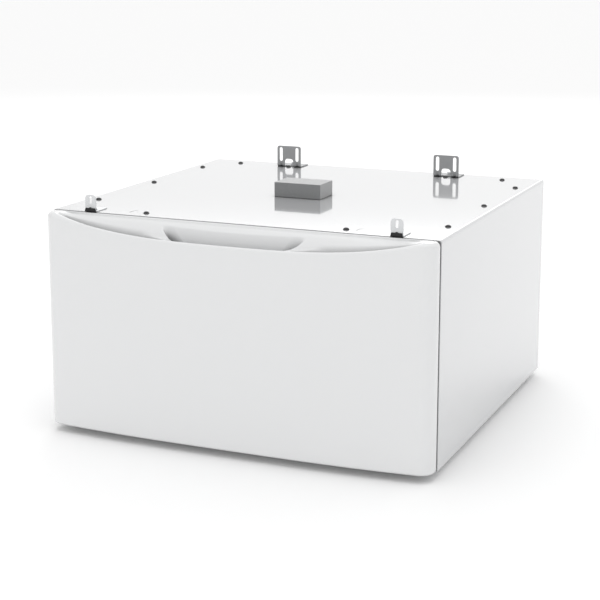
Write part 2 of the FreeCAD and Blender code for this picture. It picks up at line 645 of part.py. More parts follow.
def drawer_front():
    wall = PANEL_WALL
    outer = panel_plan(0.0, PANEL_BACK, PANEL_Z0, PANEL_Z1, PANEL_CORNER)

    def rim(z):
        return edges_where(outer, lambda e: abs(e.BoundBox.ZMin - z) < 0.01
                           and abs(e.BoundBox.ZMax - z) < 0.01
                           and e.BoundBox.YMin < PANEL_BACK - 0.5)

    outer = outer.makeFillet(PANEL_EDGE, rim(PANEL_Z1))
    outer = outer.makeFillet(PANEL_FOOT_EDGE, rim(PANEL_Z0))
    hollow = panel_plan(wall, PANEL_BACK + 1, PANEL_Z0 + wall, PANEL_Z1 - PANEL_EDGE,
                        PANEL_CORNER - wall)
    hollow = cut(hollow, [scoop(wall), finger_pocket(wall)])
    bosses = [panel_boss(x, z) for x, z in boss_places()]
    shell = cut(outer, [scoop(0.0), finger_pocket(0.0), hollow])
    nodes["drawer_front_panel"] = union([shell] + bosses)

    half = PANEL_HALF - BACKING_INSET
    holes = [rod(x, PANEL_BACK - 1, z, PANEL_SCREW + RUNNING, 6, V(0, 1, 0))
             for x, z in boss_places()]
    backing = block(-half, half, PANEL_BACK, PANEL_BACK + BACKING,
                    PANEL_Z0 + BACKING_INSET, PANEL_Z1 - BACKING_INSET)
    nodes["front_backing_plate"] = cut(backing, holes)

    y = PANEL_BACK + BACKING
    inside = DRAWER_HALF - DRAWER_SHEET
    wall_parts = [block(-inside, inside, y, y + DRAWER_SHEET, DRAWER_FLOOR, DRAWER_TOP),
                  block(-inside, inside, y, y + DRAWER_RIM, DRAWER_TOP - DRAWER_SHEET, DRAWER_TOP)]
    nodes["drawer_front_wall"] = cut(union(wall_parts), holes)

    screws = []
    for x, z in boss_places():
        seat = y + DRAWER_SHEET
        pan = rod(x, seat, z, 4.2, 2.2, V(0, 1, 0))
        screws.append(union([pan, rod(x, seat - 22.0, z, PANEL_SCREW, 22.5, V(0, 1, 0))]))
    nodes["drawer_front_screws"] = Part.makeCompound(screws)

    x = HALF_W - END_FLANGE + 6.0
    thick = PANEL_GAP - BACKING - BUMPER_CLEAR
    bumpers = [rod(x, y, z, BUMPER_RADIUS, thick, V(0, 1, 0)) for z in (Z0 + 50.0, Z1 - 50.0)]
    nodes["drawer_bumpers"] = Part.makeCompound(both(bumpers))


# ---------------------------------------------------------------- drawer box
def drawer_box():
    t = DRAWER_SHEET
    y0 = PANEL_BACK + BACKING + t
    y1 = Y0 + DRAWER_LENGTH
    out = DRAWER_HALF
    side = [block(out - t, out, y0, y1, DRAWER_FLOOR, DRAWER_TOP),
            block(out - DRAWER_FLANGE, out, y0, y1, DRAWER_FLOOR, DRAWER_FLOOR + t),
            block(out - DRAWER_RIM, out, y0 + DRAWER_RIM, y1, DRAWER_TOP - t, DRAWER_TOP),
            block(out - DRAWER_RIM, out - DRAWER_RIM + t, y0 + DRAWER_RIM, y1,
                  DRAWER_TOP - 6.0, DRAWER_TOP)]
    pair("drawer_side", cut(union(side), drawer_screw_holes()))

    inside = out - t
    nodes["drawer_bottom"] = block(-inside, inside, y0, y1 - t, DRAWER_FLOOR + t,
                                   DRAWER_FLOOR + 2 * t)
    shoulder = out - DRAWER_RIM
    back = [block(-inside, inside, y1 - t, y1, DRAWER_FLOOR + t, DRAWER_TOP - 6.0),
            block(-shoulder, shoulder, y1 - t, y1, DRAWER_TOP - 6.0, DRAWER_TOP),
            block(-shoulder, shoulder, y1 - DRAWER_RIM, y1, DRAWER_TOP - t, DRAWER_TOP)]
    nodes["drawer_back"] = union(back)


# ---------------------------------------------------------------- slides
def channel_x(depth0, depth1, half, web_at, length0, length1, steel):
    """Slide member: depths are measured from the post towards the drawer."""
    x0, x1 = SLIDE_FACE - depth0, SLIDE_FACE - depth1
    web = SLIDE_FACE - web_at
    sign = -1 if web_at == depth0 else 1
    z0, z1 = SLIDE_Z - half, SLIDE_Z + half
    return union([block(web, web + sign * steel, length0, length1, z0, z1),
                  block(x0, x1, length0, length1, z1 - steel, z1),
                  block(x0, x1, length0, length1, z0, z0 + steel)])


def slide_fixing_places():
    """Where the outer member is screwed to the posts."""
    return [Y0 + centre for centre in post_places().values()]


def slide_fixing_holes():
    return [rod(SLIDE_FACE - 3, y, SLIDE_Z, 2.0 + RUNNING, 10, V(1, 0, 0))
            for y in slide_fixing_places()]


def drawer_screw_places():
    return [Y0 + SLIDE_START + share * SLIDE_LENGTH for share in (0.10, 0.50, 0.90)]


def drawer_screw_holes():
    return [rod(DRAWER_HALF - 4, y, SLIDE_Z, 2.0 + RUNNING, 8, V(1, 0, 0))
            for y in drawer_screw_places()]


def slides():
    s = SLIDE_STEEL
    y0, y1 = Y0 + SLIDE_START, Y0 + SLIDE_START + SLIDE_LENGTH
    outer_half = SLIDE_HEIGHT / 2
    middle_half = outer_half - s - BALL_OUTER - 2 * BALL_CLEAR
    inner_half = middle_half - s - BALL_INNER - 2 * BALL_CLEAR
    middle_web = 3.0

    sink = 1.2
    sinks = [Part.makeCone(2.0, 3.4, sink, V(SLIDE_FACE, y, SLIDE_Z), V(-1, 0, 0))
             for y in slide_fixing_places()]
    outer = channel_x(0.0, 11.0, outer_half, 0.0, y0, y1, s)
    pair("slide_outer", cut(outer, sinks + slide_fixing_holes()))
    fixings = []
    for y in slide_fixing_places():
        head = Part.makeCone(2.0, 3.4, sink, V(SLIDE_FACE, y, SLIDE_Z), V(-1, 0, 0))
        fixings.append(union([head, rod(SLIDE_FACE, y, SLIDE_Z, 2.0, 6.0, V(1, 0, 0))]))
    nodes["slide_post_screws"] = Part.makeCompound(both(fixings))

    middle = channel_x(middle_web, 11.2, middle_half, middle_web, y0, y1, s)
    pair("slide_middle", middle)

    inner = channel_x(6.4, SLIDE_DEPTH, inner_half, SLIDE_DEPTH, y0, y1, s)
    pin_y, pin_z = lever_pivot()
    pin_hole = rod(SLIDE_FACE - SLIDE_DEPTH - 1, pin_y, pin_z, 1.5, 4, V(1, 0, 0))
    screw_holes = [rod(DRAWER_HALF - 4, y, SLIDE_Z, 2.0 + RUNNING, 8, V(1, 0, 0))
                   for y in drawer_screw_places()]
    pair("slide_inner", cut(inner, screw_holes + [pin_hole]))

    screws = []
    for y in drawer_screw_places():
        seat = DRAWER_HALF + s
        screws.append(union([rod(seat, y, SLIDE_Z, 3.8, 1.8, V(1, 0, 0)),
                             rod(DRAWER_HALF - 5.0, y, SLIDE_Z, 2.0, 5.2 + s, V(1, 0, 0))]))
    nodes["slide_drawer_screws"] = Part.makeCompound(both(screws))

    middle_y = (y0 + y1) / 2
    cages = (("slide_outer_cage", 1.8, 9.0, outer_half - s, BALL_OUTER, 6.4, middle_half),
             ("slide_inner_cage", middle_web + s + 0.5, 10.6, middle_half - s, BALL_INNER, 8.6,
              inner_half))
    for name, web, reach, race_outer, ball, ball_depth, race_inner in cages:
        ring = (race_outer + race_inner) / 2
        cage = channel_x(web, reach, ring + 0.4, web, middle_y - CAGE_LENGTH / 2,
                         middle_y + CAGE_LENGTH / 2, 0.8)
        pitch = CAGE_LENGTH / BALLS_PER_ROW
        centres = [V(SLIDE_FACE - ball_depth, middle_y - CAGE_LENGTH / 2 + (k + 0.5) * pitch,
                     SLIDE_Z + side * ring) for k in range(BALLS_PER_ROW) for side in (-1, 1)]
        pockets = [Part.makeSphere(ball / 2 + 0.15, c) for c in centres]
        balls = [Part.makeSphere(ball / 2, c) for c in centres]
        pair(name, Part.makeCompound([cut(cage, pockets)] + balls))


def lever_pivot():
    return Y0 + SLIDE_START + 130.0, SLIDE_Z


def release_levers():
    """Small trigger in each inner member that frees the drawer at full reach."""
    y, z = lever_pivot()
    x1 = SLIDE_FACE - SLIDE_DEPTH + SLIDE_STEEL + 3.2
    thick = 1.6
    arm = block(x1 - thick, x1, y - 34.0, y + 26.0, z - 2.6, z + 2.6)
    hub = rod(x1 - thick, y, z, 5.0, thick, V(1, 0, 0))
    tab = block(x1 - thick, x1 + 1.0, y - 34.0, y - 24.0, z - 4.0, z + 4.0)
    bore = rod(x1 - thick - 1, y, z, 1.5 + RUNNING, thick + 4, V(1, 0, 0))
    pair("release_lever", cut(union([arm, hub, tab]), [bore]))
    pin = union([rod(SLIDE_FACE - SLIDE_DEPTH + 0.2, y, z, 1.5, x1 - SLIDE_FACE + SLIDE_DEPTH + 0.1,
                     V(1, 0, 0)),
                 rod(x1 + 0.1, y, z, 2.6, 0.8, V(1, 0, 0))])
    nodes["release_lever_pins"] = Part.makeCompound(both([pin]))


def rear_screws():
    screws = []
    for x, z in rear_screw_places():
        screws.append(union([rod(x, Y1, z, 4.0, SCREW_HEAD, V(0, 1, 0)),
                             rod(x, Y1 - 9.0, z, 2.0, 9.5, V(0, 1, 0))]))
    nodes["rear_panel_screws"] = Part.makeCompound(screws)


# ---------------------------------------------------------------- build
cabinet_shell()
frame_members()
slide_posts()
levelling_feet()
top_hardware()
rear_screws()
drawer_front()
drawer_box()
slides()
release_levers()

os.makedirs("parts", exist_ok=True)
for name, shape in nodes.items():
    shape.exportStep("parts/" + name + ".step")
    solids = shape.Solids
    box = shape.BoundBox
    print("%-28s solids %2d  valid %s  volume %10.0f  x %7.1f %7.1f  y %7.1f %7.1f  z %6.1f %6.1f"
          % (name, len(solids), shape.isValid(), shape.Volume, box.XMin, box.XMax,
             box.YMin, box.YMax, box.ZMin, box.ZMax))
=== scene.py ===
import math

import bpy
import bmesh
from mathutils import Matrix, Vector


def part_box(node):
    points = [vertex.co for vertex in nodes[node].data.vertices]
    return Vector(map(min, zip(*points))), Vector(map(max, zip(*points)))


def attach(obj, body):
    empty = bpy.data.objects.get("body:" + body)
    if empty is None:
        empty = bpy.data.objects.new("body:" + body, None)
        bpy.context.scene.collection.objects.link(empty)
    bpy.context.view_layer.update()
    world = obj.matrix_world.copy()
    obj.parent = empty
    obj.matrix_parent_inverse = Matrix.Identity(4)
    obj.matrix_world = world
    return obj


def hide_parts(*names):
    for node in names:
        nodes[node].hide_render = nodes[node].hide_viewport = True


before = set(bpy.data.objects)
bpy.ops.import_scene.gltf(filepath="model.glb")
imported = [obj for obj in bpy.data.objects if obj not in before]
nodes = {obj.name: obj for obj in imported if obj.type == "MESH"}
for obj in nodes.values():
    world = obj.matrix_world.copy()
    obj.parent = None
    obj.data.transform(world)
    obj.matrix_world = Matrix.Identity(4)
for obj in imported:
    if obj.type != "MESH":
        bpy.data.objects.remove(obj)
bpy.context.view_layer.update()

# ---------------------------------------------------------------- studio
# A pale seamless floor under a white surround that falls off to both sides and to the front, with
# one broad lamp behind, one high above the front, and a long lens. None of it is the object's.
CAMERA_PLACE = (1.022, -2.4255, 0.836)
CAMERA_AZIMUTH = 23.14
CAMERA_TILT = 11.51
CAMERA_LENS = 90.3
CAMERA_SHIFT = -0.10
CAMERA_SENSOR = 36.0
FLOOR_SIZE = 60.0
FLOOR_GLOW = 0.06
FLOOR_WHITE = (0.94, 0.94, 0.94)
FLOOR_ROUGHNESS = 0.9
SURROUND = 1.04
SIDE_FALL = 0.38
SIDE_FALL_POWER = 3.0
FRONT_FALL = 0.12
BACK_LAMP_PLACE = (-1.2, 3.6, 2.6)
BACK_LAMP_SIZE = 3.0
BACK_LAMP_POWER = 30.0
TOP_LAMP_PLACE = (0.2, -1.0, 3.4)
TOP_LAMP_SIZE = 2.4
TOP_LAMP_POWER = 14.0


def deselect():
    bpy.ops.object.select_all(action="DESELECT")


def name_new(name):
    """Names the object that was just added, and its mesh."""
    piece = bpy.context.active_object
    piece.name = name
    piece.data.name = name
    return piece


def new_material(name, colour, roughness, **sockets):
    """A Principled material with plain values set on the shader's own sockets."""
    material = bpy.data.materials.new(name)
    material.use_nodes = True
    shader = material.node_tree.nodes["Principled BSDF"]
    shader.inputs["Base Color"].default_value = (*colour, 1.0)
    shader.inputs["Roughness"].default_value = roughness
    for socket, value in sockets.items():
        shader.inputs[socket.replace("_", " ")].default_value = value
    return material, shader


deselect()
bpy.ops.mesh.primitive_plane_add(size=FLOOR_SIZE)
floor = name_new("floor")
pale, shader = new_material("pale_floor", FLOOR_WHITE, FLOOR_ROUGHNESS, Emission_Strength=FLOOR_GLOW)
shader.inputs["Emission Color"].default_value = (1.0, 1.0, 1.0, 1.0)
floor.data.materials.append(pale)

deselect()
bpy.ops.object.camera_add(location=CAMERA_PLACE)
camera = bpy.context.active_object
camera.rotation_euler = (math.radians(90.0 - CAMERA_TILT), 0.0, math.radians(CAMERA_AZIMUTH))
camera.data.lens = CAMERA_LENS
camera.data.sensor_width = CAMERA_SENSOR
camera.data.shift_y = CAMERA_SHIFT
bpy.context.scene.camera = camera

world = bpy.data.worlds.new("surround")
bpy.context.scene.world = world
world.use_nodes = True
sky = world.node_tree
direction = sky.nodes.new("ShaderNodeTexCoord")
parts = sky.nodes.new("ShaderNodeSeparateXYZ")
sky.links.new(direction.outputs["Generated"], parts.inputs[0])


def sky_step(operation, first, *others):
    """One step of arithmetic on the surround: a socket first, then sockets or plain numbers."""
    node = sky.nodes.new("ShaderNodeMath")
    node.operation = operation
    for place, value in enumerate((first, *others)):
        if isinstance(value, float):
            node.inputs[place].default_value = value
        else:
            sky.links.new(value, node.inputs[place])
    return node.outputs[0]


sides = sky_step("POWER", sky_step("ABSOLUTE", parts.outputs["X"]), SIDE_FALL_POWER)
light = sky_step("MULTIPLY_ADD", sides, -SIDE_FALL, SURROUND)
ahead = sky_step("MAXIMUM", sky_step("MULTIPLY", parts.outputs["Y"], -1.0), 0.0)
light = sky_step("MULTIPLY_ADD", ahead, -FRONT_FALL, light)
sky.links.new(light, sky.nodes["Background"].inputs["Color"])
bpy.context.scene.view_settings.view_transform = "Standard"

for place, size, power in ((BACK_LAMP_PLACE, BACK_LAMP_SIZE, BACK_LAMP_POWER),
                           (TOP_LAMP_PLACE, TOP_LAMP_SIZE, TOP_LAMP_POWER)):
    deselect()
    bpy.ops.object.light_add(type="AREA", location=place)
    lamp = bpy.context.active_object
    lamp.data.size = size
    lamp.data.energy = power
    lamp.rotation_euler = (-Vector(place)).to_track_quat("-Z", "Y").to_euler()

# ---------------------------------------------------------------- cabinet shell
# Top and both sides are folded from one steel sheet in gloss white enamel, which mirrors what
# stands on it. Screws through the top hold it to the rails of the frame inside.
ENAMEL_WHITE = (0.60, 0.605, 0.615)
ENAMEL_ROUGHNESS = 0.10


def add_node(tree, kind, **values):
    """A shader node with its settings, or its inputs where the name is an input's."""
    node = tree.nodes.new(kind)
    for name, value in values.items():
        plain = name.replace("_", " ")
        if plain in node.inputs:
            node.inputs[plain].default_value = value
        else:
            setattr(node, name, value)
    return node


def new_group(name, inputs, outputs):
    """An empty shader node group with named number or colour sockets."""
    group = bpy.data.node_groups.new(name, "ShaderNodeTree")
    for label, value in inputs.items():
        kind = "NodeSocketColor" if isinstance(value, tuple) else "NodeSocketFloat"
        socket = group.interface.new_socket(name=label, in_out="INPUT", socket_type=kind)
        socket.default_value = value
    for label, kind in outputs.items():
        group.interface.new_socket(name=label, in_out="OUTPUT", socket_type=kind)
    start = group.nodes.new("NodeGroupInput")
    end = group.nodes.new("NodeGroupOutput")
    return group, start, end


def painted_shade_group():
    """Painted shade: colour that deepens, by ambient occlusion, where a surface is closed in, in place
    of the light that gets lost there.
    """
    group, start, end = new_group(
        "painted_hollow_shade", {"Colour": (0.8, 0.8, 0.8, 1.0), "Reach": 0.03, "Strength": 0.5},
        {"Colour": "NodeSocketColor"})
    open_share = add_node(group, "ShaderNodeAmbientOcclusion", samples=6)
    share = add_node(group, "ShaderNodeMath", operation="POWER")
    mix = add_node(group, "ShaderNodeMix", data_type="RGBA", blend_type="MULTIPLY")
    group.links.new(start.outputs["Reach"], open_share.inputs["Distance"])
    group.links.new(open_share.outputs["AO"], share.inputs[0])
    group.links.new(start.outputs["Strength"], share.inputs[1])
    mix.inputs[0].default_value = 1.0
    group.links.new(start.outputs["Colour"], mix.inputs[6])
    group.links.new(share.outputs[0], mix.inputs[7])
    group.links.new(mix.outputs[2], end.inputs["Colour"])
    return group


def ripple_group():
    """The faint long-and-short ripple of sprayed paint or moulded plastic, as a height."""
    group, start, end = new_group("paint_ripple", {"Scale": 600.0}, {"Height": "NodeSocketFloat"})
    place = add_node(group, "ShaderNodeTexCoord")
    fine = add_node(group, "ShaderNodeTexNoise", Detail=2.0)
    broad = add_node(group, "ShaderNodeTexNoise", Scale=45.0, Detail=1.0)
    total = add_node(group, "ShaderNodeMath", operation="ADD")
    group.links.new(place.outputs["Object"], fine.inputs["Vector"])
    group.links.new(place.outputs["Object"], broad.inputs["Vector"])
    group.links.new(start.outputs["Scale"], fine.inputs["Scale"])
    group.links.new(fine.outputs[0], total.inputs[0])
    group.links.new(broad.outputs[0], total.inputs[1])
    group.links.new(total.outputs[0], end.inputs["Height"])
    return group


PAINTED_HOLLOW_SHADE = painted_shade_group()
RIPPLE = ripple_group()


def place_group(material, group, **values):
    node = material.node_tree.nodes.new("ShaderNodeGroup")
    node.node_tree = group
    for label, value in values.items():
        node.inputs[label].default_value = value
    return node


# Painted shade: darkens a material's base colour where its surface is closed in.
def paint_shade_in_hollows(material, shader, colour, reach, strength):
    hollow = place_group(material, PAINTED_HOLLOW_SHADE, Colour=(*colour, 1.0), Reach=reach, Strength=strength)
    material.node_tree.links.new(hollow.outputs["Colour"], shader.inputs["Base Color"])


def raise_surface(material, shader, height, distance, strength=1.0):
    """Turns a height from 0 to 1, which stands for the distance in metres, into relief."""
    bump = add_node(material.node_tree, "ShaderNodeBump", Strength=strength, Distance=distance)
    material.node_tree.links.new(height, bump.inputs["Height"])
    material.node_tree.links.new(bump.outputs["Normal"], shader.inputs["Normal"])


def ripple(material, shader, scale, distance):
    node = place_group(material, RIPPLE, Scale=scale)
    raise_surface(material, shader, node.outputs["Height"], distance)


def dress(names, material):
    """Gives CAD nodes their finish."""
    for name in names:
        mesh = nodes[name].data
        mesh.materials.clear()
        mesh.materials.append(material)


enamel, shader = new_material("gloss_white_enamel", ENAMEL_WHITE, ENAMEL_ROUGHNESS, Metallic=0.18,
                              Coat_Weight=1.0, Coat_Roughness=0.03, Specular_IOR_Level=0.6)
# Painted shade: the enamel's colour is darkened in gap lines, slits and corners, where shade falls.
paint_shade_in_hollows(enamel, shader, ENAMEL_WHITE, reach=0.012, strength=2.2)
ripple(enamel, shader, scale=700.0, distance=0.000004)
dress(["cabinet_wrapper"], enamel)

# ---------------------------------------------------------------- drawer front
# The front is one hollow moulding in gloss white. Its face is bowed, and a crescent scooped out
# of its top edge ends in a lip, with a finger pocket in the middle and a trough in each wing.
front_low, front_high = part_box("drawer_front_panel")
HALF = front_high.x
BACK = front_high.y
FRONT = front_low.y
TOP = front_high.z
BASE = front_low.z
BOW = 0.010
BOW_HALF = HALF - 0.036
BOW_POWER = 3.0
CORNER = 0.024
TOP_EDGE = 0.0085
LIP_EDGE = 0.0042
FOOT_EDGE = 0.005
END_EDGE = 0.003
END_SEGMENTS = 4
BACK_EDGE = 0.0012
LAND = 0.003
WALL = 0.0026
SCOOP_HALF = HALF - 0.019
SCOOP_DEPTH = 0.0285
SCOOP_TIP = 0.006
SCOOP_SLOPES = ((0.85, 0.0, 0.75), (0.15, 0.5, 1.0))
POCKET_DEPTH = 0.046
POCKET_END = 0.127
POCKET_START = 0.24
POCKET_SAG = 0.06
POCKET_WALL = 0.13
POCKET_LIP = (0.90, 0.98)
POCKET_SIDE = 0.020
POCKET_TAPER = (0.026, 0.25, 0.95)
TROUGH_DEPTH = 0.011
TROUGH_START = 0.152
TROUGH_FALL = (0.44, 0.80)
TROUGH_RISE = (0.88, 1.0)
TROUGH_TAPER = (0.038, 0.60, 0.98)
TROUGH_ENDS = (0.012, 0.020)
BEAD = 0.0028
BEAD_RISE = (0.0, 0.06)
BEAD_FALL = (0.5, 1.0)
MIDDLE_COLUMNS = (0.170, 85)
WING_COLUMNS = 42
CORNER_COLUMNS = 14
SCOOP_ROWS = ((0.12, 14), (0.24, 8), (0.44, 28), (0.60, 8), (0.76, 14), (0.88, 6), (1.0, 18))
ROUND_ROWS = 6
FACE_ROWS = 24
FRONT_WHITE = (0.77, 0.775, 0.78)
FRONT_ROUGHNESS = 0.20


def activate(piece):
    deselect()
    piece.select_set(True)
    bpy.context.view_layer.objects.active = piece


def apply_modifiers(piece):
    activate(piece)
    for modifier in list(piece.modifiers):
        bpy.ops.object.modifier_apply(modifier=modifier.name)


def make_piece(name, shape):
    """A new piece from faces worked out point by point."""
    mesh = bpy.data.meshes.new(name)
    shape.to_mesh(mesh)
    shape.free()
    piece = bpy.data.objects.new(name, mesh)
    bpy.context.collection.objects.link(piece)
    activate(piece)
    return piece


def step(value, low, high):
    """Smooth rise from 0 at low to 1 at high."""
    share = min(max((value - low) / (high - low), 0.0), 1.0)
    return share * share * (3.0 - 2.0 * share)


def spread(stops):
    """Numbers from the first stop to the last, evenly spaced inside each (end, count) stretch."""
    numbers = [stops[0]]
    for end, count in stops[1:]:
        start = numbers[-1]
        numbers += [start + (end - start) * (k + 1) / count for k in range(count)]
    return numbers


def bowed(x):
    return FRONT + BOW * abs(x / BOW_HALF) ** BOW_POWER


def lean(x):
    """Angle of the bowed face at x, turned away from straight ahead."""
    slope = BOW_POWER * BOW / BOW_HALF * (x / BOW_HALF) ** (BOW_POWER - 1.0)
    return math.atan(slope)


corner_lean = lean(HALF - CORNER + CORNER * math.sin(lean(HALF - CORNER)))
corner_x = HALF - CORNER
corner_y = bowed(corner_x + CORNER * math.sin(corner_lean)) + CORNER * math.cos(corner_lean)


def outline():
    """Points of the right half of the plan, with the way out at each: centre, corner, end."""
    points = []
    last = corner_x + CORNER * math.sin(corner_lean)
    for x in spread([0.0, MIDDLE_COLUMNS, (last, WING_COLUMNS)]):
        turn = lean(x)
        points.append((x, bowed(x), math.sin(turn), -math.cos(turn)))
    for k in range(1, CORNER_COLUMNS + 1):
        turn = corner_lean + (math.pi / 2 - corner_lean) * k / CORNER_COLUMNS
        points.append((corner_x + CORNER * math.sin(turn), corner_y - CORNER * math.cos(turn),
                       math.sin(turn), -math.cos(turn)))
    return points


def lip_depth(x):
    """How far the crest of the lip lies below the top."""
    return SCOOP_DEPTH * (1.0 - min(abs(x) / SCOOP_HALF, 1.0) ** 3)


def edge_radius(x):
    share = lip_depth(x) / SCOOP_DEPTH
    return TOP_EDGE + (LIP_EDGE - TOP_EDGE) * min(2.0 * share, 1.0)


def scooped(x, share):
    """Height of the scoop's surface, share of the way from the land at the back to the lip."""
    across = abs(x)
    depth = lip_depth(x)
    slope = sum(part * step(share, *span) for part, *span in SCOOP_SLOPES)
    tip = step(depth, 0.0, SCOOP_TIP)
    height = -depth * slope - BEAD * step(share, *BEAD_RISE) * (1.0 - step(share, *BEAD_FALL)) * tip
    inner = TROUGH_START - TROUGH_TAPER[0] * step(share, *TROUGH_TAPER[1:])
    trough = step(share, *TROUGH_FALL) * (1.0 - step(share, *TROUGH_RISE))
    trough *= step(across, inner - TROUGH_ENDS[0], inner + TROUGH_ENDS[1]) * tip
    height -= TROUGH_DEPTH * trough
    end = POCKET_END - POCKET_TAPER[0] * step(share, *POCKET_TAPER[1:])
    start = POCKET_START + POCKET_SAG * (1.0 - min(across / POCKET_END, 1.0) ** 2)
    pocket = step(share, start, start + POCKET_WALL) * (1.0 - step(share, *POCKET_LIP))
    pocket *= 1.0 - step(across, end - POCKET_SIDE, end)
    return height * (1.0 - pocket) - POCKET_DEPTH * pocket


def front_skin():
    """The outside of the moulding: scooped top, rounded rim, bowed face, ends and underside."""
    right = outline()
    plan = [(-x, y, -ax, ay) for x, y, ax, ay in reversed(right[1:])] + right
    shares = spread([0.0, *SCOOP_ROWS])
    rounds = [math.radians(90.0 * k / ROUND_ROWS) for k in range(ROUND_ROWS + 1)]
    levels = spread([0.0, (1.0, FACE_ROWS)])
    shape = bmesh.new()
    rows = []

    def add_row(place):
        rows.append([shape.verts.new(place(*point)) for point in plan])

    def rim(x, y, ax, ay, turn):
        """A point on the rounding between the top and the face."""
        radius = edge_radius(x)
        inset = radius * (1.0 - math.sin(turn))
        drop = radius * (1.0 - math.cos(turn))
        return (x - ax * inset, y - ay * inset, TOP - lip_depth(x) - drop)

    def top_point(x, y, ax, ay, share):
        end_x, end_y, _ = rim(x, y, ax, ay, 0.0)
        start_y = BACK - LAND
        return (end_x, start_y + (end_y - start_y) * share, TOP + scooped(x, share))

    def face_point(x, y, ax, ay, level):
        high = TOP - lip_depth(x) - edge_radius(x)
        return (x, y, high + (BASE + FOOT_EDGE - high) * level)

    def foot_point(x, y, ax, ay, turn):
        inset = FOOT_EDGE * (1.0 - math.cos(turn))
        return (x - ax * inset, y - ay * inset, BASE + FOOT_EDGE * (1.0 - math.sin(turn)))

    add_row(lambda x, y, ax, ay: (rim(x, y, ax, ay, 0.0)[0], BACK, TOP - BACK_EDGE))
    add_row(lambda x, y, ax, ay: (rim(x, y, ax, ay, 0.0)[0], BACK - BACK_EDGE, TOP))
    for share in shares:
        add_row(lambda x, y, ax, ay: top_point(x, y, ax, ay, share))
    for turn in rounds[1:]:
        add_row(lambda x, y, ax, ay: rim(x, y, ax, ay, turn))
    for level in levels[1:]:
        add_row(lambda x, y, ax, ay: face_point(x, y, ax, ay, level))
    for turn in rounds[1:]:
        add_row(lambda x, y, ax, ay: foot_point(x, y, ax, ay, turn))
    add_row(lambda x, y, ax, ay: (x - ax * FOOT_EDGE, BACK, BASE))
    for upper, lower in zip(rows, rows[1:]):
        for k in range(len(plan) - 1):
            shape.faces.new((upper[k], lower[k], lower[k + 1], upper[k + 1]))
    turns = [math.radians(90.0 * k / END_SEGMENTS) for k in range(END_SEGMENTS + 1)]
    for side, sign in ((0, -1.0), (-1, 1.0)):
        edge = [row[side] for row in rows]
        for before, turn in zip([0.0] + turns, turns):
            inset = END_EDGE * (math.cos(before) - math.cos(turn))
            behind = []
            for vertex in edge:
                y = max(vertex.co.y, BACK - END_EDGE * (1.0 - math.sin(turn)))
                behind.append(shape.verts.new((vertex.co.x - sign * inset, min(y, BACK), vertex.co.z)))
            for k in range(len(edge) - 1):
                ring = [edge[k], behind[k], behind[k + 1], edge[k + 1]]
                shape.faces.new(ring if sign < 0 else ring[::-1])
            edge = behind
    bmesh.ops.remove_doubles(shape, verts=shape.verts, dist=0.00002)
    bmesh.ops.recalc_face_normals(shape, faces=shape.faces)
    piece = make_piece("drawer_front", shape)
    bpy.ops.object.shade_smooth()
    return piece


drawer_front = front_skin()
wall = drawer_front.modifiers.new("wall", "SOLIDIFY")
wall.thickness = WALL
wall.offset = -1.0
apply_modifiers(drawer_front)

front_paint, shader = new_material("gloss_white_front", FRONT_WHITE, FRONT_ROUGHNESS, Coat_Weight=0.4,
                                   Coat_Roughness=0.05)
# Painted shade: the front's colour is darkened in the scoop's trough and pocket and at its gaps, where
# shade falls.
paint_shade_in_hollows(front_paint, shader, FRONT_WHITE, reach=0.018, strength=0.85)
ripple(front_paint, shader, scale=900.0, distance=0.00001)
drawer_front.data.materials.append(front_paint)
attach(drawer_front, "drawer")
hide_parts("drawer_front_panel")

# ---------------------------------------------------------------- top screws
# Twelve black self-tapping screws hold the top to the frame. Each has a low domed head with a
# cross recess and a threaded shank that shows under the top.
HEAD_RADIUS = 0.0050
HEAD_RISE = 0.0033
HEAD_EDGE = 0.00012
RECESS = 0.0011
RECESS_ARM = (1.15, 0.24)
RECESS_TURN = 0.4
RECESS_CLEAR = 0.0002
SHANK_RADIUS = 0.002
SHANK_LENGTH = 0.012
THREAD_PITCH = 0.0012
THREAD_DEPTH = 0.0004
SCREW_BLACK = (0.016, 0.016, 0.017)
SCREW_WORN = (0.12, 0.12, 0.12)


def settle(piece):
    """Puts the place, turn and size of a piece into its mesh."""
    activate(piece)
    bpy.ops.object.transform_apply(location=True, rotation=True, scale=True)


def join(pieces, name):
    """Makes one piece of several."""
    activate(pieces[0])
    for piece in pieces[1:]:
        piece.select_set(True)
    bpy.ops.object.join()
    return name_new(name)


def carve(piece, cutter):
    """Takes the cutter's shape out of the piece, and the cutter away."""
    tool = piece.modifiers.new("carve", "BOOLEAN")
    tool.operation = "DIFFERENCE"
    tool.solver = "EXACT"
    tool.object = cutter
    apply_modifiers(piece)
    bpy.data.objects.remove(cutter)


def soften(piece, width, segments=2, angle=40.0):
    """Rounds the sharp edges, and shades what is round as round."""
    bevel = piece.modifiers.new("soft_edges", "BEVEL")
    bevel.width = width
    bevel.segments = segments
    bevel.limit_method = "ANGLE"
    bevel.angle_limit = math.radians(angle)
    apply_modifiers(piece)
    bpy.ops.object.shade_smooth_by_angle(angle=math.radians(angle))


def copy_to(piece, name, offset, share=1.0):
    """A copy with a mesh of its own, moved by the offset, at a share of the size."""
    twin = piece.copy()
    twin.data = piece.data.copy()
    twin.name = name
    twin.data.name = name
    bpy.context.collection.objects.link(twin)
    twin.location = offset
    twin.scale = (share, share, share)
    settle(twin)
    return twin


def put(piece, material, body, slot, *replaced):
    """Gives a new piece its finish and its body, and hides the CAD nodes that it stands for."""
    piece.data.materials.clear()
    piece.data.materials.append(material)
    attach(piece, body)
    if replaced:
        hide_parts(*replaced)


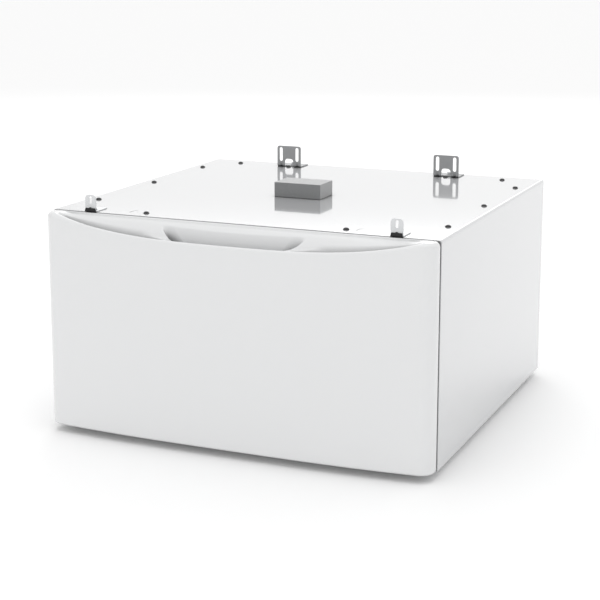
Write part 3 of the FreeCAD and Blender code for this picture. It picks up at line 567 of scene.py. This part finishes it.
def threaded_rod(name, radius, depth, pitch, low, high, steps=20):
    """A screw thread about +Z between two heights: one zigzag wound round and round."""
    profile = bmesh.new()
    points = [(radius - depth, 0.0, 0.0), (radius, 0.0, 0.4 * pitch), (radius, 0.0, 0.55 * pitch),
              (radius - depth, 0.0, 0.95 * pitch), (radius - depth, 0.0, pitch)]
    line = [profile.verts.new(point) for point in points]
    for a, b in zip(line, line[1:]):
        profile.edges.new((a, b))
    rod = make_piece(name, profile)
    rod.location = (0.0, 0.0, low - pitch)
    winding = rod.modifiers.new("thread", "SCREW")
    winding.axis = "Z"
    winding.steps = steps
    winding.render_steps = steps
    winding.screw_offset = pitch
    winding.iterations = int((high - low) / pitch) + 1
    winding.use_merge_vertices = True
    winding.merge_threshold = 0.00001
    apply_modifiers(rod)
    settle(rod)
    for height, keep_above in ((low, True), (high, False)):
        bpy.ops.object.mode_set(mode="EDIT")
        bpy.ops.mesh.select_all(action="SELECT")
        bpy.ops.mesh.bisect(plane_co=(0.0, 0.0, height), plane_no=(0.0, 0.0, 1.0), use_fill=True,
                            clear_inner=keep_above, clear_outer=not keep_above)
        bpy.ops.object.mode_set(mode="OBJECT")
    bpy.ops.object.mode_set(mode="EDIT")
    bpy.ops.mesh.select_all(action="SELECT")
    bpy.ops.mesh.normals_make_consistent(inside=False)
    bpy.ops.object.mode_set(mode="OBJECT")
    bpy.ops.object.shade_smooth_by_angle(angle=math.radians(35.0))
    return rod


def domed_head(name, radius, rise, recess):
    """A low dome on the plane z = 0 with a cross recess."""
    deselect()
    bpy.ops.mesh.primitive_uv_sphere_add(segments=40, ring_count=24, radius=radius)
    head = name_new(name)
    bpy.ops.object.mode_set(mode="EDIT")
    bpy.ops.mesh.select_all(action="SELECT")
    bpy.ops.mesh.bisect(plane_co=(0.0, 0.0, 0.0), plane_no=(0.0, 0.0, 1.0), use_fill=True,
                        clear_inner=True)
    bpy.ops.object.mode_set(mode="OBJECT")
    head.scale = (1.0, 1.0, rise / radius)
    settle(head)
    for turn in (0.0, math.pi / 2):
        deselect()
        bpy.ops.mesh.primitive_cube_add(size=1.0, location=(0.0, 0.0, rise - recess / 2 + RECESS_CLEAR))
        cross = bpy.context.active_object
        cross.scale = (radius * RECESS_ARM[0], radius * RECESS_ARM[1], recess + 2.0 * RECESS_CLEAR)
        cross.rotation_euler = (0.0, 0.0, turn + RECESS_TURN)
        settle(cross)
        carve(head, cross)
    soften(head, HEAD_EDGE, 2, 30.0)
    return head


def wear_group():
    """A mask of the edges, where a rounded normal leaves the true one, broken up by noise."""
    group, start, end = new_group("edge_wear", {"Width": 0.0006, "Amount": 0.5},
                                  {"Mask": "NodeSocketFloat"})
    rounded = add_node(group, "ShaderNodeBevel", samples=4)
    true = add_node(group, "ShaderNodeNewGeometry")
    turn = add_node(group, "ShaderNodeVectorMath", operation="DOT_PRODUCT")
    spots = add_node(group, "ShaderNodeTexNoise", Scale=420.0, Detail=3.0)
    place = add_node(group, "ShaderNodeTexCoord")
    ramp = add_node(group, "ShaderNodeMapRange", clamp=True)
    ramp.inputs["From Min"].default_value = 0.995
    ramp.inputs["From Max"].default_value = 0.90
    broken = add_node(group, "ShaderNodeMath", operation="MULTIPLY")
    total = add_node(group, "ShaderNodeMath", operation="MULTIPLY", use_clamp=True)
    group.links.new(start.outputs["Width"], rounded.inputs["Radius"])
    group.links.new(rounded.outputs[0], turn.inputs[0])
    group.links.new(true.outputs["Normal"], turn.inputs[1])
    group.links.new(turn.outputs["Value"], ramp.inputs["Value"])
    group.links.new(place.outputs["Object"], spots.inputs["Vector"])
    group.links.new(ramp.outputs[0], broken.inputs[0])
    group.links.new(spots.outputs[0], broken.inputs[1])
    group.links.new(broken.outputs[0], total.inputs[0])
    group.links.new(start.outputs["Amount"], total.inputs[1])
    group.links.new(total.outputs[0], end.inputs["Mask"])
    return group


EDGE_WEAR = wear_group()


def mix_colours(material, shader, mask, first, second):
    """Colour that goes from the first to the second by a mask."""
    mix = add_node(material.node_tree, "ShaderNodeMix", data_type="RGBA")
    mix.inputs[6].default_value = (*first, 1.0)
    mix.inputs[7].default_value = (*second, 1.0)
    material.node_tree.links.new(mask, mix.inputs[0])
    material.node_tree.links.new(mix.outputs[2], shader.inputs["Base Color"])


def vary(material, shader, socket, value, low, high):
    """Drives a socket between two numbers by a value from 0 to 1."""
    ramp = add_node(material.node_tree, "ShaderNodeMapRange")
    ramp.inputs["To Min"].default_value = low
    ramp.inputs["To Max"].default_value = high
    material.node_tree.links.new(value, ramp.inputs["Value"])
    material.node_tree.links.new(ramp.outputs[0], shader.inputs[socket])


black_finish, shader = new_material("black_coated_screw", SCREW_BLACK, 0.34, Specular_IOR_Level=0.5)
worn = place_group(black_finish, EDGE_WEAR, Width=0.0005, Amount=0.9)
mix_colours(black_finish, shader, worn.outputs["Mask"], SCREW_BLACK, SCREW_WORN)
ripple(black_finish, shader, scale=2400.0, distance=0.00001)

cabinet_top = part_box("cabinet_wrapper")[1].z
head = domed_head("screw_pattern", HEAD_RADIUS, HEAD_RISE, RECESS)
shank = threaded_rod("shank_pattern", SHANK_RADIUS, THREAD_DEPTH, THREAD_PITCH,
                     -SHANK_LENGTH, 0.0)
screw = join([head, shank], "screw_pattern")


def group_centres(node):
    """The middle of each separate solid of a node, left to right."""
    shape = bmesh.new()
    shape.from_mesh(nodes[node].data)
    bmesh.ops.remove_doubles(shape, verts=shape.verts, dist=0.00001)
    centres = []
    seen = set()
    for first in shape.verts:
        if first in seen:
            continue
        island = {first}
        edge = [first]
        while edge:
            vertex = edge.pop()
            for link in vertex.link_edges:
                other = link.other_vert(vertex)
                if other not in island:
                    island.add(other)
                    edge.append(other)
        seen |= island
        low = [min(v.co[k] for v in island) for k in range(3)]
        high = [max(v.co[k] for v in island) for k in range(3)]
        centres.append(tuple((a + b) / 2 for a, b in zip(low, high)))
    shape.free()
    return sorted(centres)


for index, (x, y, z) in enumerate(group_centres("top_screws")):
    piece = copy_to(screw, f"top_screw_{index + 1:02d}", (x, y, cabinet_top))
    put(piece, black_finish, "cabinet", "black_screw", *(["top_screws"] if index == 0 else []))

# ---------------------------------------------------------------- tie-down brackets
# Four angles pressed from zinc-plated strip hold an appliance down. The rear pair has two slots,
# an arched window and two dimples pressed into the bend. The front pair has one slot each.
REAR_STEEL = 0.0018
REAR_WIDTH = 0.050
REAR_HEIGHT = 0.0415
REAR_FOOT = 0.039
REAR_CORNER = 0.0045
REAR_SLOTS = (-0.017, 0.017)
REAR_SLOT_WIDTH = 0.0070
REAR_SLOT_SPAN = (0.011, 0.0385)
WINDOW_WIDTH = 0.0185
WINDOW_HEIGHT = 0.016
WINDOW_CROWN = 0.006
WINDOW_REACH = 0.017
WINDOW_CLEAR = 0.0005
DIMPLE_DEPTH = 0.0014
DIMPLE_ACROSS = (0.0008, 0.0042)
DIMPLE_ALONG = (0.001, 0.0085)
REAR_BOLT_HOLE = (0.025, 0.00305)
REAR_EDGE = 0.00022
FRONT_STEEL = 0.0015
FRONT_WIDTH = 0.0205
FRONT_HEIGHT = 0.0285
FRONT_FOOT = 0.037
FRONT_CORNER = 0.0065
FRONT_SLOT_WIDTH = 0.0052
FRONT_SLOT_SPAN = (0.0138, 0.0258)
FRONT_SCREW_SHARE = 0.75
FRONT_SCREW_HOLE = (0.014, 0.00205)
FRONT_EDGE = 0.0002
STRIP_COLUMNS = 60
STRIP_ROUND = 0.002
GREY_ZINC = (0.36, 0.365, 0.37)
GREY_ZINC_EDGE = (0.26, 0.265, 0.27)
BRIGHT_ZINC = (0.74, 0.75, 0.76)
BRIGHT_ZINC_EDGE = (0.62, 0.63, 0.64)


def pressed_angle(name, x, y, width, height, foot, steel, corner, dimples):
    """Strip folded through a right angle: a plate that stands at y, its foot to the rear."""
    bend = 2.0 * steel
    arc = bend * math.pi / 2
    stops = spread([0.0, (corner, 12), (height - bend - 0.004, 24), (height - bend, 8),
                    (height - bend + arc, 10), (height - bend + arc + 0.006, 10),
                    (height - bend + arc + foot - bend, 16)])
    shape = bmesh.new()
    rows = []
    total = stops[-1]
    for along in stops:
        inset = 0.0
        if along < corner:
            inset = corner - math.sqrt(max(corner ** 2 - (corner - along) ** 2, 0.0))
        if total - along < STRIP_ROUND:
            short = STRIP_ROUND - total + along
            inset = STRIP_ROUND - math.sqrt(max(STRIP_ROUND ** 2 - short ** 2, 0.0))
        if along <= height - bend:
            place = (y, cabinet_top + height - along)
        elif along <= height - bend + arc:
            turn = (along - height + bend) / bend
            place = (y + bend * (1.0 - math.cos(turn)), cabinet_top + bend * (1.0 - math.sin(turn)))
        else:
            place = (y + bend + along - (height - bend + arc), cabinet_top)
        row = []
        for k in range(STRIP_COLUMNS + 1):
            across = (width - 2.0 * inset) * (k / STRIP_COLUMNS - 0.5)
            rise = 0.0
            for centre in dimples:
                near = 1.0 - step(abs(across - centre), *DIMPLE_ACROSS)
                rise += near * (1.0 - step(abs(along - (height - bend + arc / 2)), *DIMPLE_ALONG))
            rise *= DIMPLE_DEPTH * math.sqrt(0.5)
            row.append(shape.verts.new((x + across, place[0] + rise, place[1] + rise)))
        rows.append(row)
    for upper, lower in zip(rows, rows[1:]):
        for k in range(len(upper) - 1):
            shape.faces.new((upper[k], lower[k], lower[k + 1], upper[k + 1]))
    piece = make_piece(name, shape)
    wall = piece.modifiers.new("steel", "SOLIDIFY")
    wall.thickness = steel
    wall.offset = -1.0
    apply_modifiers(piece)
    return piece


def upright_slot(x, y, low, high, width):
    """A cutter for a slot with round ends: a rod whose upper half is drawn up."""
    deselect()
    bpy.ops.mesh.primitive_cylinder_add(vertices=40, radius=width / 2, depth=0.02,
                                        rotation=(math.pi / 2, 0.0, 0.0),
                                        location=(x, y, cabinet_top + low + width / 2))
    cutter = bpy.context.active_object
    settle(cutter)
    middle = cabinet_top + low + width / 2
    for vertex in cutter.data.vertices:
        if vertex.co.z > middle:
            vertex.co.z += high - low - width
    return cutter


def window_cutter(x, y):
    """A cutter for the arched window, which reaches through the bend into the foot."""
    deselect()
    middle = cabinet_top + WINDOW_HEIGHT / 2 - WINDOW_CLEAR
    bpy.ops.mesh.primitive_cube_add(size=1.0, location=(x, y + WINDOW_CLEAR, middle))
    cutter = bpy.context.active_object
    cutter.scale = (WINDOW_WIDTH, WINDOW_REACH, WINDOW_HEIGHT + 2.0 * WINDOW_CLEAR)
    settle(cutter)
    bpy.ops.object.mode_set(mode="EDIT")
    mesh = bmesh.from_edit_mesh(cutter.data)
    for edge in mesh.edges:
        a, b = (vertex.co for vertex in edge.verts)
        edge.select_set(abs(a.y - b.y) > 0.01 and min(a.z, b.z) > cabinet_top + 0.01)
    bmesh.update_edit_mesh(cutter.data)
    bpy.ops.mesh.bevel(offset=WINDOW_CROWN, segments=10)
    bpy.ops.object.mode_set(mode="OBJECT")
    return cutter


def bolt_hole(x, y, behind, radius):
    """A cutter for a hole in a foot, so far behind the plate."""
    deselect()
    bpy.ops.mesh.primitive_cylinder_add(vertices=32, radius=radius, depth=0.01,
                                        location=(x, y + behind, cabinet_top))
    return bpy.context.active_object


def grain_group():
    """Fine lines left by rolling, drawn out along one axis, from 0 to 1."""
    group, start, end = new_group("rolled_grain", {"Along": 30.0, "Across": 1400.0},
                                  {"Value": "NodeSocketFloat"})
    place = add_node(group, "ShaderNodeTexCoord")
    stretch = add_node(group, "ShaderNodeCombineXYZ")
    scaled = add_node(group, "ShaderNodeVectorMath", operation="MULTIPLY")
    lines = add_node(group, "ShaderNodeTexNoise", Scale=1.0, Detail=3.0)
    group.links.new(start.outputs["Across"], stretch.inputs[0])
    group.links.new(start.outputs["Along"], stretch.inputs[1])
    group.links.new(start.outputs["Along"], stretch.inputs[2])
    group.links.new(place.outputs["Object"], scaled.inputs[0])
    group.links.new(stretch.outputs[0], scaled.inputs[1])
    group.links.new(scaled.outputs[0], lines.inputs["Vector"])
    group.links.new(lines.outputs[0], end.inputs["Value"])
    return group


ROLLED_GRAIN = grain_group()


def plated(name, colour, edge_colour, roughness, metallic):
    """Zinc-plated steel: rolled grain in its gloss and its relief, and edges of a second colour."""
    material, shader = new_material(name, colour, roughness, Metallic=metallic)
    grain = place_group(material, ROLLED_GRAIN)
    vary(material, shader, "Roughness", grain.outputs["Value"], roughness - 0.10, roughness + 0.12)
    raise_surface(material, shader, grain.outputs["Value"], 0.00001)
    worn = place_group(material, EDGE_WEAR, Width=0.0005, Amount=1.0)
    mix_colours(material, shader, worn.outputs["Mask"], colour, edge_colour)
    return material


bracket_grey = plated("grey_zinc_plate", GREY_ZINC, GREY_ZINC_EDGE, 0.45, 0.70)
bracket_bright = plated("bright_zinc_plate", BRIGHT_ZINC, BRIGHT_ZINC_EDGE, 0.36, 0.30)

for side in ("left", "right"):
    low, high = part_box("rear_bracket_" + side)
    x, y = (low.x + high.x) / 2, low.y
    bracket = pressed_angle("rear_bracket_" + side + "_pressed", x, y, REAR_WIDTH, REAR_HEIGHT,
                            REAR_FOOT, REAR_STEEL, REAR_CORNER, REAR_SLOTS)
    for offset in REAR_SLOTS:
        carve(bracket, upright_slot(x + offset, y, *REAR_SLOT_SPAN, REAR_SLOT_WIDTH))
    carve(bracket, window_cutter(x, y))
    carve(bracket, bolt_hole(x, y, *REAR_BOLT_HOLE))
    soften(bracket, REAR_EDGE, 2, 50.0)
    put(bracket, bracket_grey, "cabinet", "bracket_steel", "rear_bracket_" + side)

    low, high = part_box("front_bracket_" + side)
    x, y = (low.x + high.x) / 2, low.y
    bracket = pressed_angle("front_bracket_" + side + "_pressed", x, y, FRONT_WIDTH, FRONT_HEIGHT,
                            FRONT_FOOT, FRONT_STEEL, FRONT_CORNER, ())
    carve(bracket, upright_slot(x, y, *FRONT_SLOT_SPAN, FRONT_SLOT_WIDTH))
    carve(bracket, bolt_hole(x, y, *FRONT_SCREW_HOLE))
    soften(bracket, FRONT_EDGE, 2, 50.0)
    put(bracket, bracket_bright, "cabinet", "zinc_steel", "front_bracket_" + side)

for index, (x, y, z) in enumerate(group_centres("front_bracket_screws")):
    piece = copy_to(screw, f"front_bracket_screw_{index + 1}", (x, y, cabinet_top + FRONT_STEEL),
                    FRONT_SCREW_SHARE)
    put(piece, black_finish, "cabinet", "black_screw", *(["front_bracket_screws"] if index == 0 else []))
bpy.data.objects.remove(screw)

# ---------------------------------------------------------------- dark strips at the front brackets
# Painted reflection and shade: a black strip in the rubber finish, with tapered ends and a small peak in
# the middle, sits in front of each front bracket. It stands for the dark that the shiny bend and its
# dimple reflect.
REFLECTION_STRIP_SHARE = 0.82
REFLECTION_STRIP_PEAK = 0.0016
REFLECTION_STRIP_TAPER = 0.0016
REFLECTION_STRIP_EDGE = 0.0007
REFLECTION_STRIP_PEAK_SPAN = (0.0004, 0.0032)
RUBBER_AND_REFLECTION_BLACK = (0.02, 0.02, 0.021)

# The black rubber finish also serves as painted reflection on the dark strips at the front brackets.
rubber, shader = new_material("black_rubber", RUBBER_AND_REFLECTION_BLACK, 0.7)
ripple(rubber, shader, scale=1500.0, distance=0.00005)
pads_low, pads_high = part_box("front_bracket_pads")
for index, (x, y, z) in enumerate(group_centres("front_bracket_pads")):
    width = 2.0 * (pads_high.x - abs(x))
    height = (pads_high.z - pads_low.z) * REFLECTION_STRIP_SHARE
    deselect()
    bpy.ops.mesh.primitive_grid_add(x_subdivisions=16, y_subdivisions=2, size=1.0)
    pad = name_new(f"front_bracket_reflection_strip_{index + 1}")
    pad.scale = (width, pads_high.y - pads_low.y, 1.0)
    settle(pad)
    bpy.ops.object.mode_set(mode="EDIT")
    bpy.ops.mesh.select_all(action="SELECT")
    bpy.ops.mesh.extrude_region_move(TRANSFORM_OT_translate={"value": (0.0, 0.0, height)})
    bpy.ops.object.mode_set(mode="OBJECT")
    for vertex in pad.data.vertices:
        if vertex.co.z > height / 2:
            vertex.co.z += REFLECTION_STRIP_PEAK * (1.0 - step(abs(vertex.co.x), *REFLECTION_STRIP_PEAK_SPAN))
            vertex.co.x *= 1.0 - 2.0 * REFLECTION_STRIP_TAPER / width
    pad.location = (x, y, pads_low.z)
    settle(pad)
    bpy.ops.object.mode_set(mode="EDIT")
    bpy.ops.mesh.select_all(action="SELECT")
    bpy.ops.mesh.normals_make_consistent(inside=False)
    bpy.ops.object.mode_set(mode="OBJECT")
    soften(pad, REFLECTION_STRIP_EDGE, 3, 50.0)
    put(pad, rubber, "cabinet", "black_rubber", *(["front_bracket_pads"] if index == 0 else []))

# ---------------------------------------------------------------- foam block
# A block of dense grey foam, cut with a blade, lies loose on the top to keep it apart from the
# appliance in transit. Its faces are slightly uneven, and its edges are soft.
FOAM_EDGE = 0.0009
FOAM_CELL = 0.0016
FOAM_UNEVEN = 0.00035
FOAM_CUTS = 40
FOAM_PORE = (0.15, 0.155, 0.158)
FOAM_SKIN = (0.245, 0.25, 0.253)
FOAM_PORE_SCALE = 900.0
FOAM_PORE_DEPTH = 0.0003

foam_low, foam_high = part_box("foam_block")
deselect()
bpy.ops.mesh.primitive_cube_add(size=1.0, location=(foam_low + foam_high) / 2)
foam_block = name_new("foam_block_cut")
foam_block.scale = foam_high - foam_low - Vector((FOAM_UNEVEN, FOAM_UNEVEN, 0.0))
settle(foam_block)
bpy.ops.object.mode_set(mode="EDIT")
bpy.ops.mesh.select_all(action="SELECT")
bpy.ops.mesh.bevel(offset=FOAM_EDGE, segments=3)
bpy.ops.mesh.select_all(action="SELECT")
bpy.ops.mesh.subdivide(number_cuts=FOAM_CUTS)
bpy.ops.object.mode_set(mode="OBJECT")
cells = bpy.data.textures.new("foam_cells", "CLOUDS")
cells.noise_scale = FOAM_CELL
uneven = foam_block.modifiers.new("uneven", "DISPLACE")
uneven.texture = cells
uneven.texture_coords = "LOCAL"
uneven.strength = FOAM_UNEVEN
uneven.mid_level = 0.9
apply_modifiers(foam_block)
bpy.ops.object.shade_smooth_by_angle(angle=math.radians(60.0))

foam, shader = new_material("grey_foam", FOAM_PORE, 0.65, Sheen_Weight=1.0, Sheen_Roughness=0.55)
pores = add_node(foam.node_tree, "ShaderNodeTexVoronoi", Scale=FOAM_PORE_SCALE)
place = add_node(foam.node_tree, "ShaderNodeTexCoord")
foam.node_tree.links.new(place.outputs["Object"], pores.inputs["Vector"])
mix_colours(foam, shader, pores.outputs["Distance"], FOAM_PORE, FOAM_SKIN)
raise_surface(foam, shader, pores.outputs["Distance"], FOAM_PORE_DEPTH, 0.6)
put(foam_block, foam, "cabinet", "foam", "foam_block")

# ---------------------------------------------------------------- levelling feet
# Four threaded studs with rubber-soled pads screw up into weld nuts in the base. Each has a lock
# nut, and the pad's sole is grooved so that it grips the floor.
STUD_PITCH = 0.0015
STUD_THREAD = 0.0009
SHOULDER_WIDTH = 0.35
SHOULDER_DROP = 0.45
GROOVES = 3
GROOVE_DEPTH = 0.0010
GROOVE_STEP = 0.07
GROOVE_WALL = 0.02
SOLE_EDGE = 0.0004
STUD_ZINC = (0.60, 0.61, 0.62)
STUD_ZINC_EDGE = (0.80, 0.80, 0.80)

stud_steel = plated("stud_zinc", STUD_ZINC, STUD_ZINC_EDGE, 0.32, 0.9)


def grooved_pad(name, low, high):
    """A round pad with a sloping shoulder above and ring grooves in its sole."""
    centre = (low + high) / 2
    radius = (high.x - low.x) / 2
    deselect()
    bpy.ops.mesh.primitive_cylinder_add(vertices=64, radius=radius, depth=high.z - low.z,
                                        location=centre)
    pad = name_new(name)
    settle(pad)
    bpy.ops.object.mode_set(mode="EDIT")
    mesh = bmesh.from_edit_mesh(pad.data)

    def pick(up):
        bpy.ops.mesh.select_all(action="DESELECT")
        for face in mesh.faces:
            face.select_set(face.normal.z * up > 0.9)
        bmesh.update_edit_mesh(pad.data)

    pick(1.0)
    bpy.ops.mesh.inset(thickness=radius * SHOULDER_WIDTH)
    bpy.ops.mesh.select_all(action="DESELECT")
    for vertex in mesh.verts:
        if vertex.co.z > centre.z and (vertex.co - centre).xy.length > radius * 0.9:
            vertex.co.z -= (high.z - low.z) * SHOULDER_DROP
    bmesh.update_edit_mesh(pad.data)
    pick(-1.0)
    for _ in range(GROOVES):
        bpy.ops.mesh.inset(thickness=radius * GROOVE_STEP)
        bpy.ops.mesh.inset(thickness=radius * GROOVE_WALL)
        bpy.ops.mesh.extrude_region_move(TRANSFORM_OT_translate={"value": (0.0, 0.0, GROOVE_DEPTH)})
        bpy.ops.mesh.inset(thickness=radius * GROOVE_STEP)
        bpy.ops.mesh.extrude_region_move(TRANSFORM_OT_translate={"value": (0.0, 0.0, -GROOVE_DEPTH)})
    bpy.ops.object.mode_set(mode="OBJECT")
    soften(pad, SOLE_EDGE, 2, 30.0)
    return pad


for corner in ("front_left", "front_right", "rear_left", "rear_right"):
    low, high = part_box("foot_pad_" + corner)
    pad = grooved_pad("foot_pad_" + corner + "_moulded", low, high)
    put(pad, rubber, "foot_" + corner, "black_rubber", "foot_pad_" + corner)
    low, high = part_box("foot_stud_" + corner)
    centre = (low + high) / 2
    stud = threaded_rod("foot_stud_" + corner + "_threaded", (high.x - low.x) / 2, STUD_THREAD,
                        STUD_PITCH, low.z, high.z)
    stud.location = (centre.x, centre.y, 0.0)
    settle(stud)
    put(stud, stud_steel, "foot_" + corner, "zinc_steel", "foot_stud_" + corner)

# ---------------------------------------------------------------- inner frame and rear
# Rails, posts, channels and the pressed rear sheet are galvanised steel, left bare, with the
# spangle of the zinc still showing. Ten round-headed screws hold the rear sheet.
ZINC_DARK = (0.50, 0.51, 0.52)
ZINC_LIGHT = (0.66, 0.67, 0.68)
SPANGLE_BEND = 0.012


def spangle_group():
    """The frost-like patches of hot-dip zinc, a random grey for each."""
    group, start, end = new_group("zinc_spangle", {"Scale": 110.0}, {"Value": "NodeSocketFloat"})
    place = add_node(group, "ShaderNodeTexCoord")
    bend = add_node(group, "ShaderNodeTexNoise", Scale=60.0, Detail=2.0)
    shift = add_node(group, "ShaderNodeVectorMath", operation="MULTIPLY_ADD")
    shift.inputs[1].default_value = (SPANGLE_BEND,) * 3
    patches = add_node(group, "ShaderNodeTexVoronoi")
    parts = add_node(group, "ShaderNodeSeparateXYZ")
    group.links.new(place.outputs["Object"], bend.inputs["Vector"])
    group.links.new(bend.outputs[1], shift.inputs[0])
    group.links.new(place.outputs["Object"], shift.inputs[2])
    group.links.new(shift.outputs[0], patches.inputs["Vector"])
    group.links.new(start.outputs["Scale"], patches.inputs["Scale"])
    group.links.new(patches.outputs["Color"], parts.inputs[0])
    group.links.new(parts.outputs[0], end.inputs["Value"])
    return group


SPANGLE = spangle_group()
galvanised, shader = new_material("galvanised_sheet", ZINC_DARK, 0.42, Metallic=0.8)
patches = place_group(galvanised, SPANGLE)
mix_colours(galvanised, shader, patches.outputs["Value"], ZINC_DARK, ZINC_LIGHT)
vary(galvanised, shader, "Roughness", patches.outputs["Value"], 0.34, 0.52)
frame_starts = ("top_", "base_", "slide_post", "foot_")
still_seen = [name for name in nodes if name.startswith(frame_starts) and not nodes[name].hide_render]
dress(still_seen + ["rear_panel"], galvanised)

# ---------------------------------------------------------------- drawer box
# Folded from thin steel and powder coated white, it hangs between the slides. A steel plate
# closes the hollow back of the moulded front, and rubber bumpers meet the cabinet's face.
POWDER_WHITE = (0.74, 0.74, 0.74)

powder, shader = new_material("white_powder_coat", POWDER_WHITE, 0.42)
# Painted shade: the powder coat's colour is darkened in its corners and hollows.
paint_shade_in_hollows(powder, shader, POWDER_WHITE, reach=0.02, strength=0.5)
ripple(powder, shader, scale=1600.0, distance=0.00004)
dress(["drawer_side_left", "drawer_side_right", "drawer_bottom", "drawer_back",
       "drawer_front_wall", "front_backing_plate"], powder)
dress(["drawer_bumpers"], rubber)

# ---------------------------------------------------------------- slides and small fasteners
# Ball-bearing slides in bright zinc plate, their cages and balls, the black release levers, and
# the plated screws and bolts that hold everything.
SLIDE_ZINC = (0.66, 0.67, 0.68)
SLIDE_ZINC_EDGE = (0.84, 0.84, 0.85)
NYLON_BLACK = (0.022, 0.022, 0.024)

slide_zinc = plated("slide_zinc", SLIDE_ZINC, SLIDE_ZINC_EDGE, 0.28, 0.9)
nylon, shader = new_material("black_nylon", NYLON_BLACK, 0.5)
ripple(nylon, shader, scale=1300.0, distance=0.00003)
dress([name for name in nodes if name.startswith("slide_") and "post" not in name], slide_zinc)
dress(["slide_post_screws", "slide_drawer_screws", "rear_panel_screws", "drawer_front_screws",
       "release_lever_pins", "rear_bracket_bolts"], slide_zinc)
dress(["release_lever_left", "release_lever_right"], nylon)
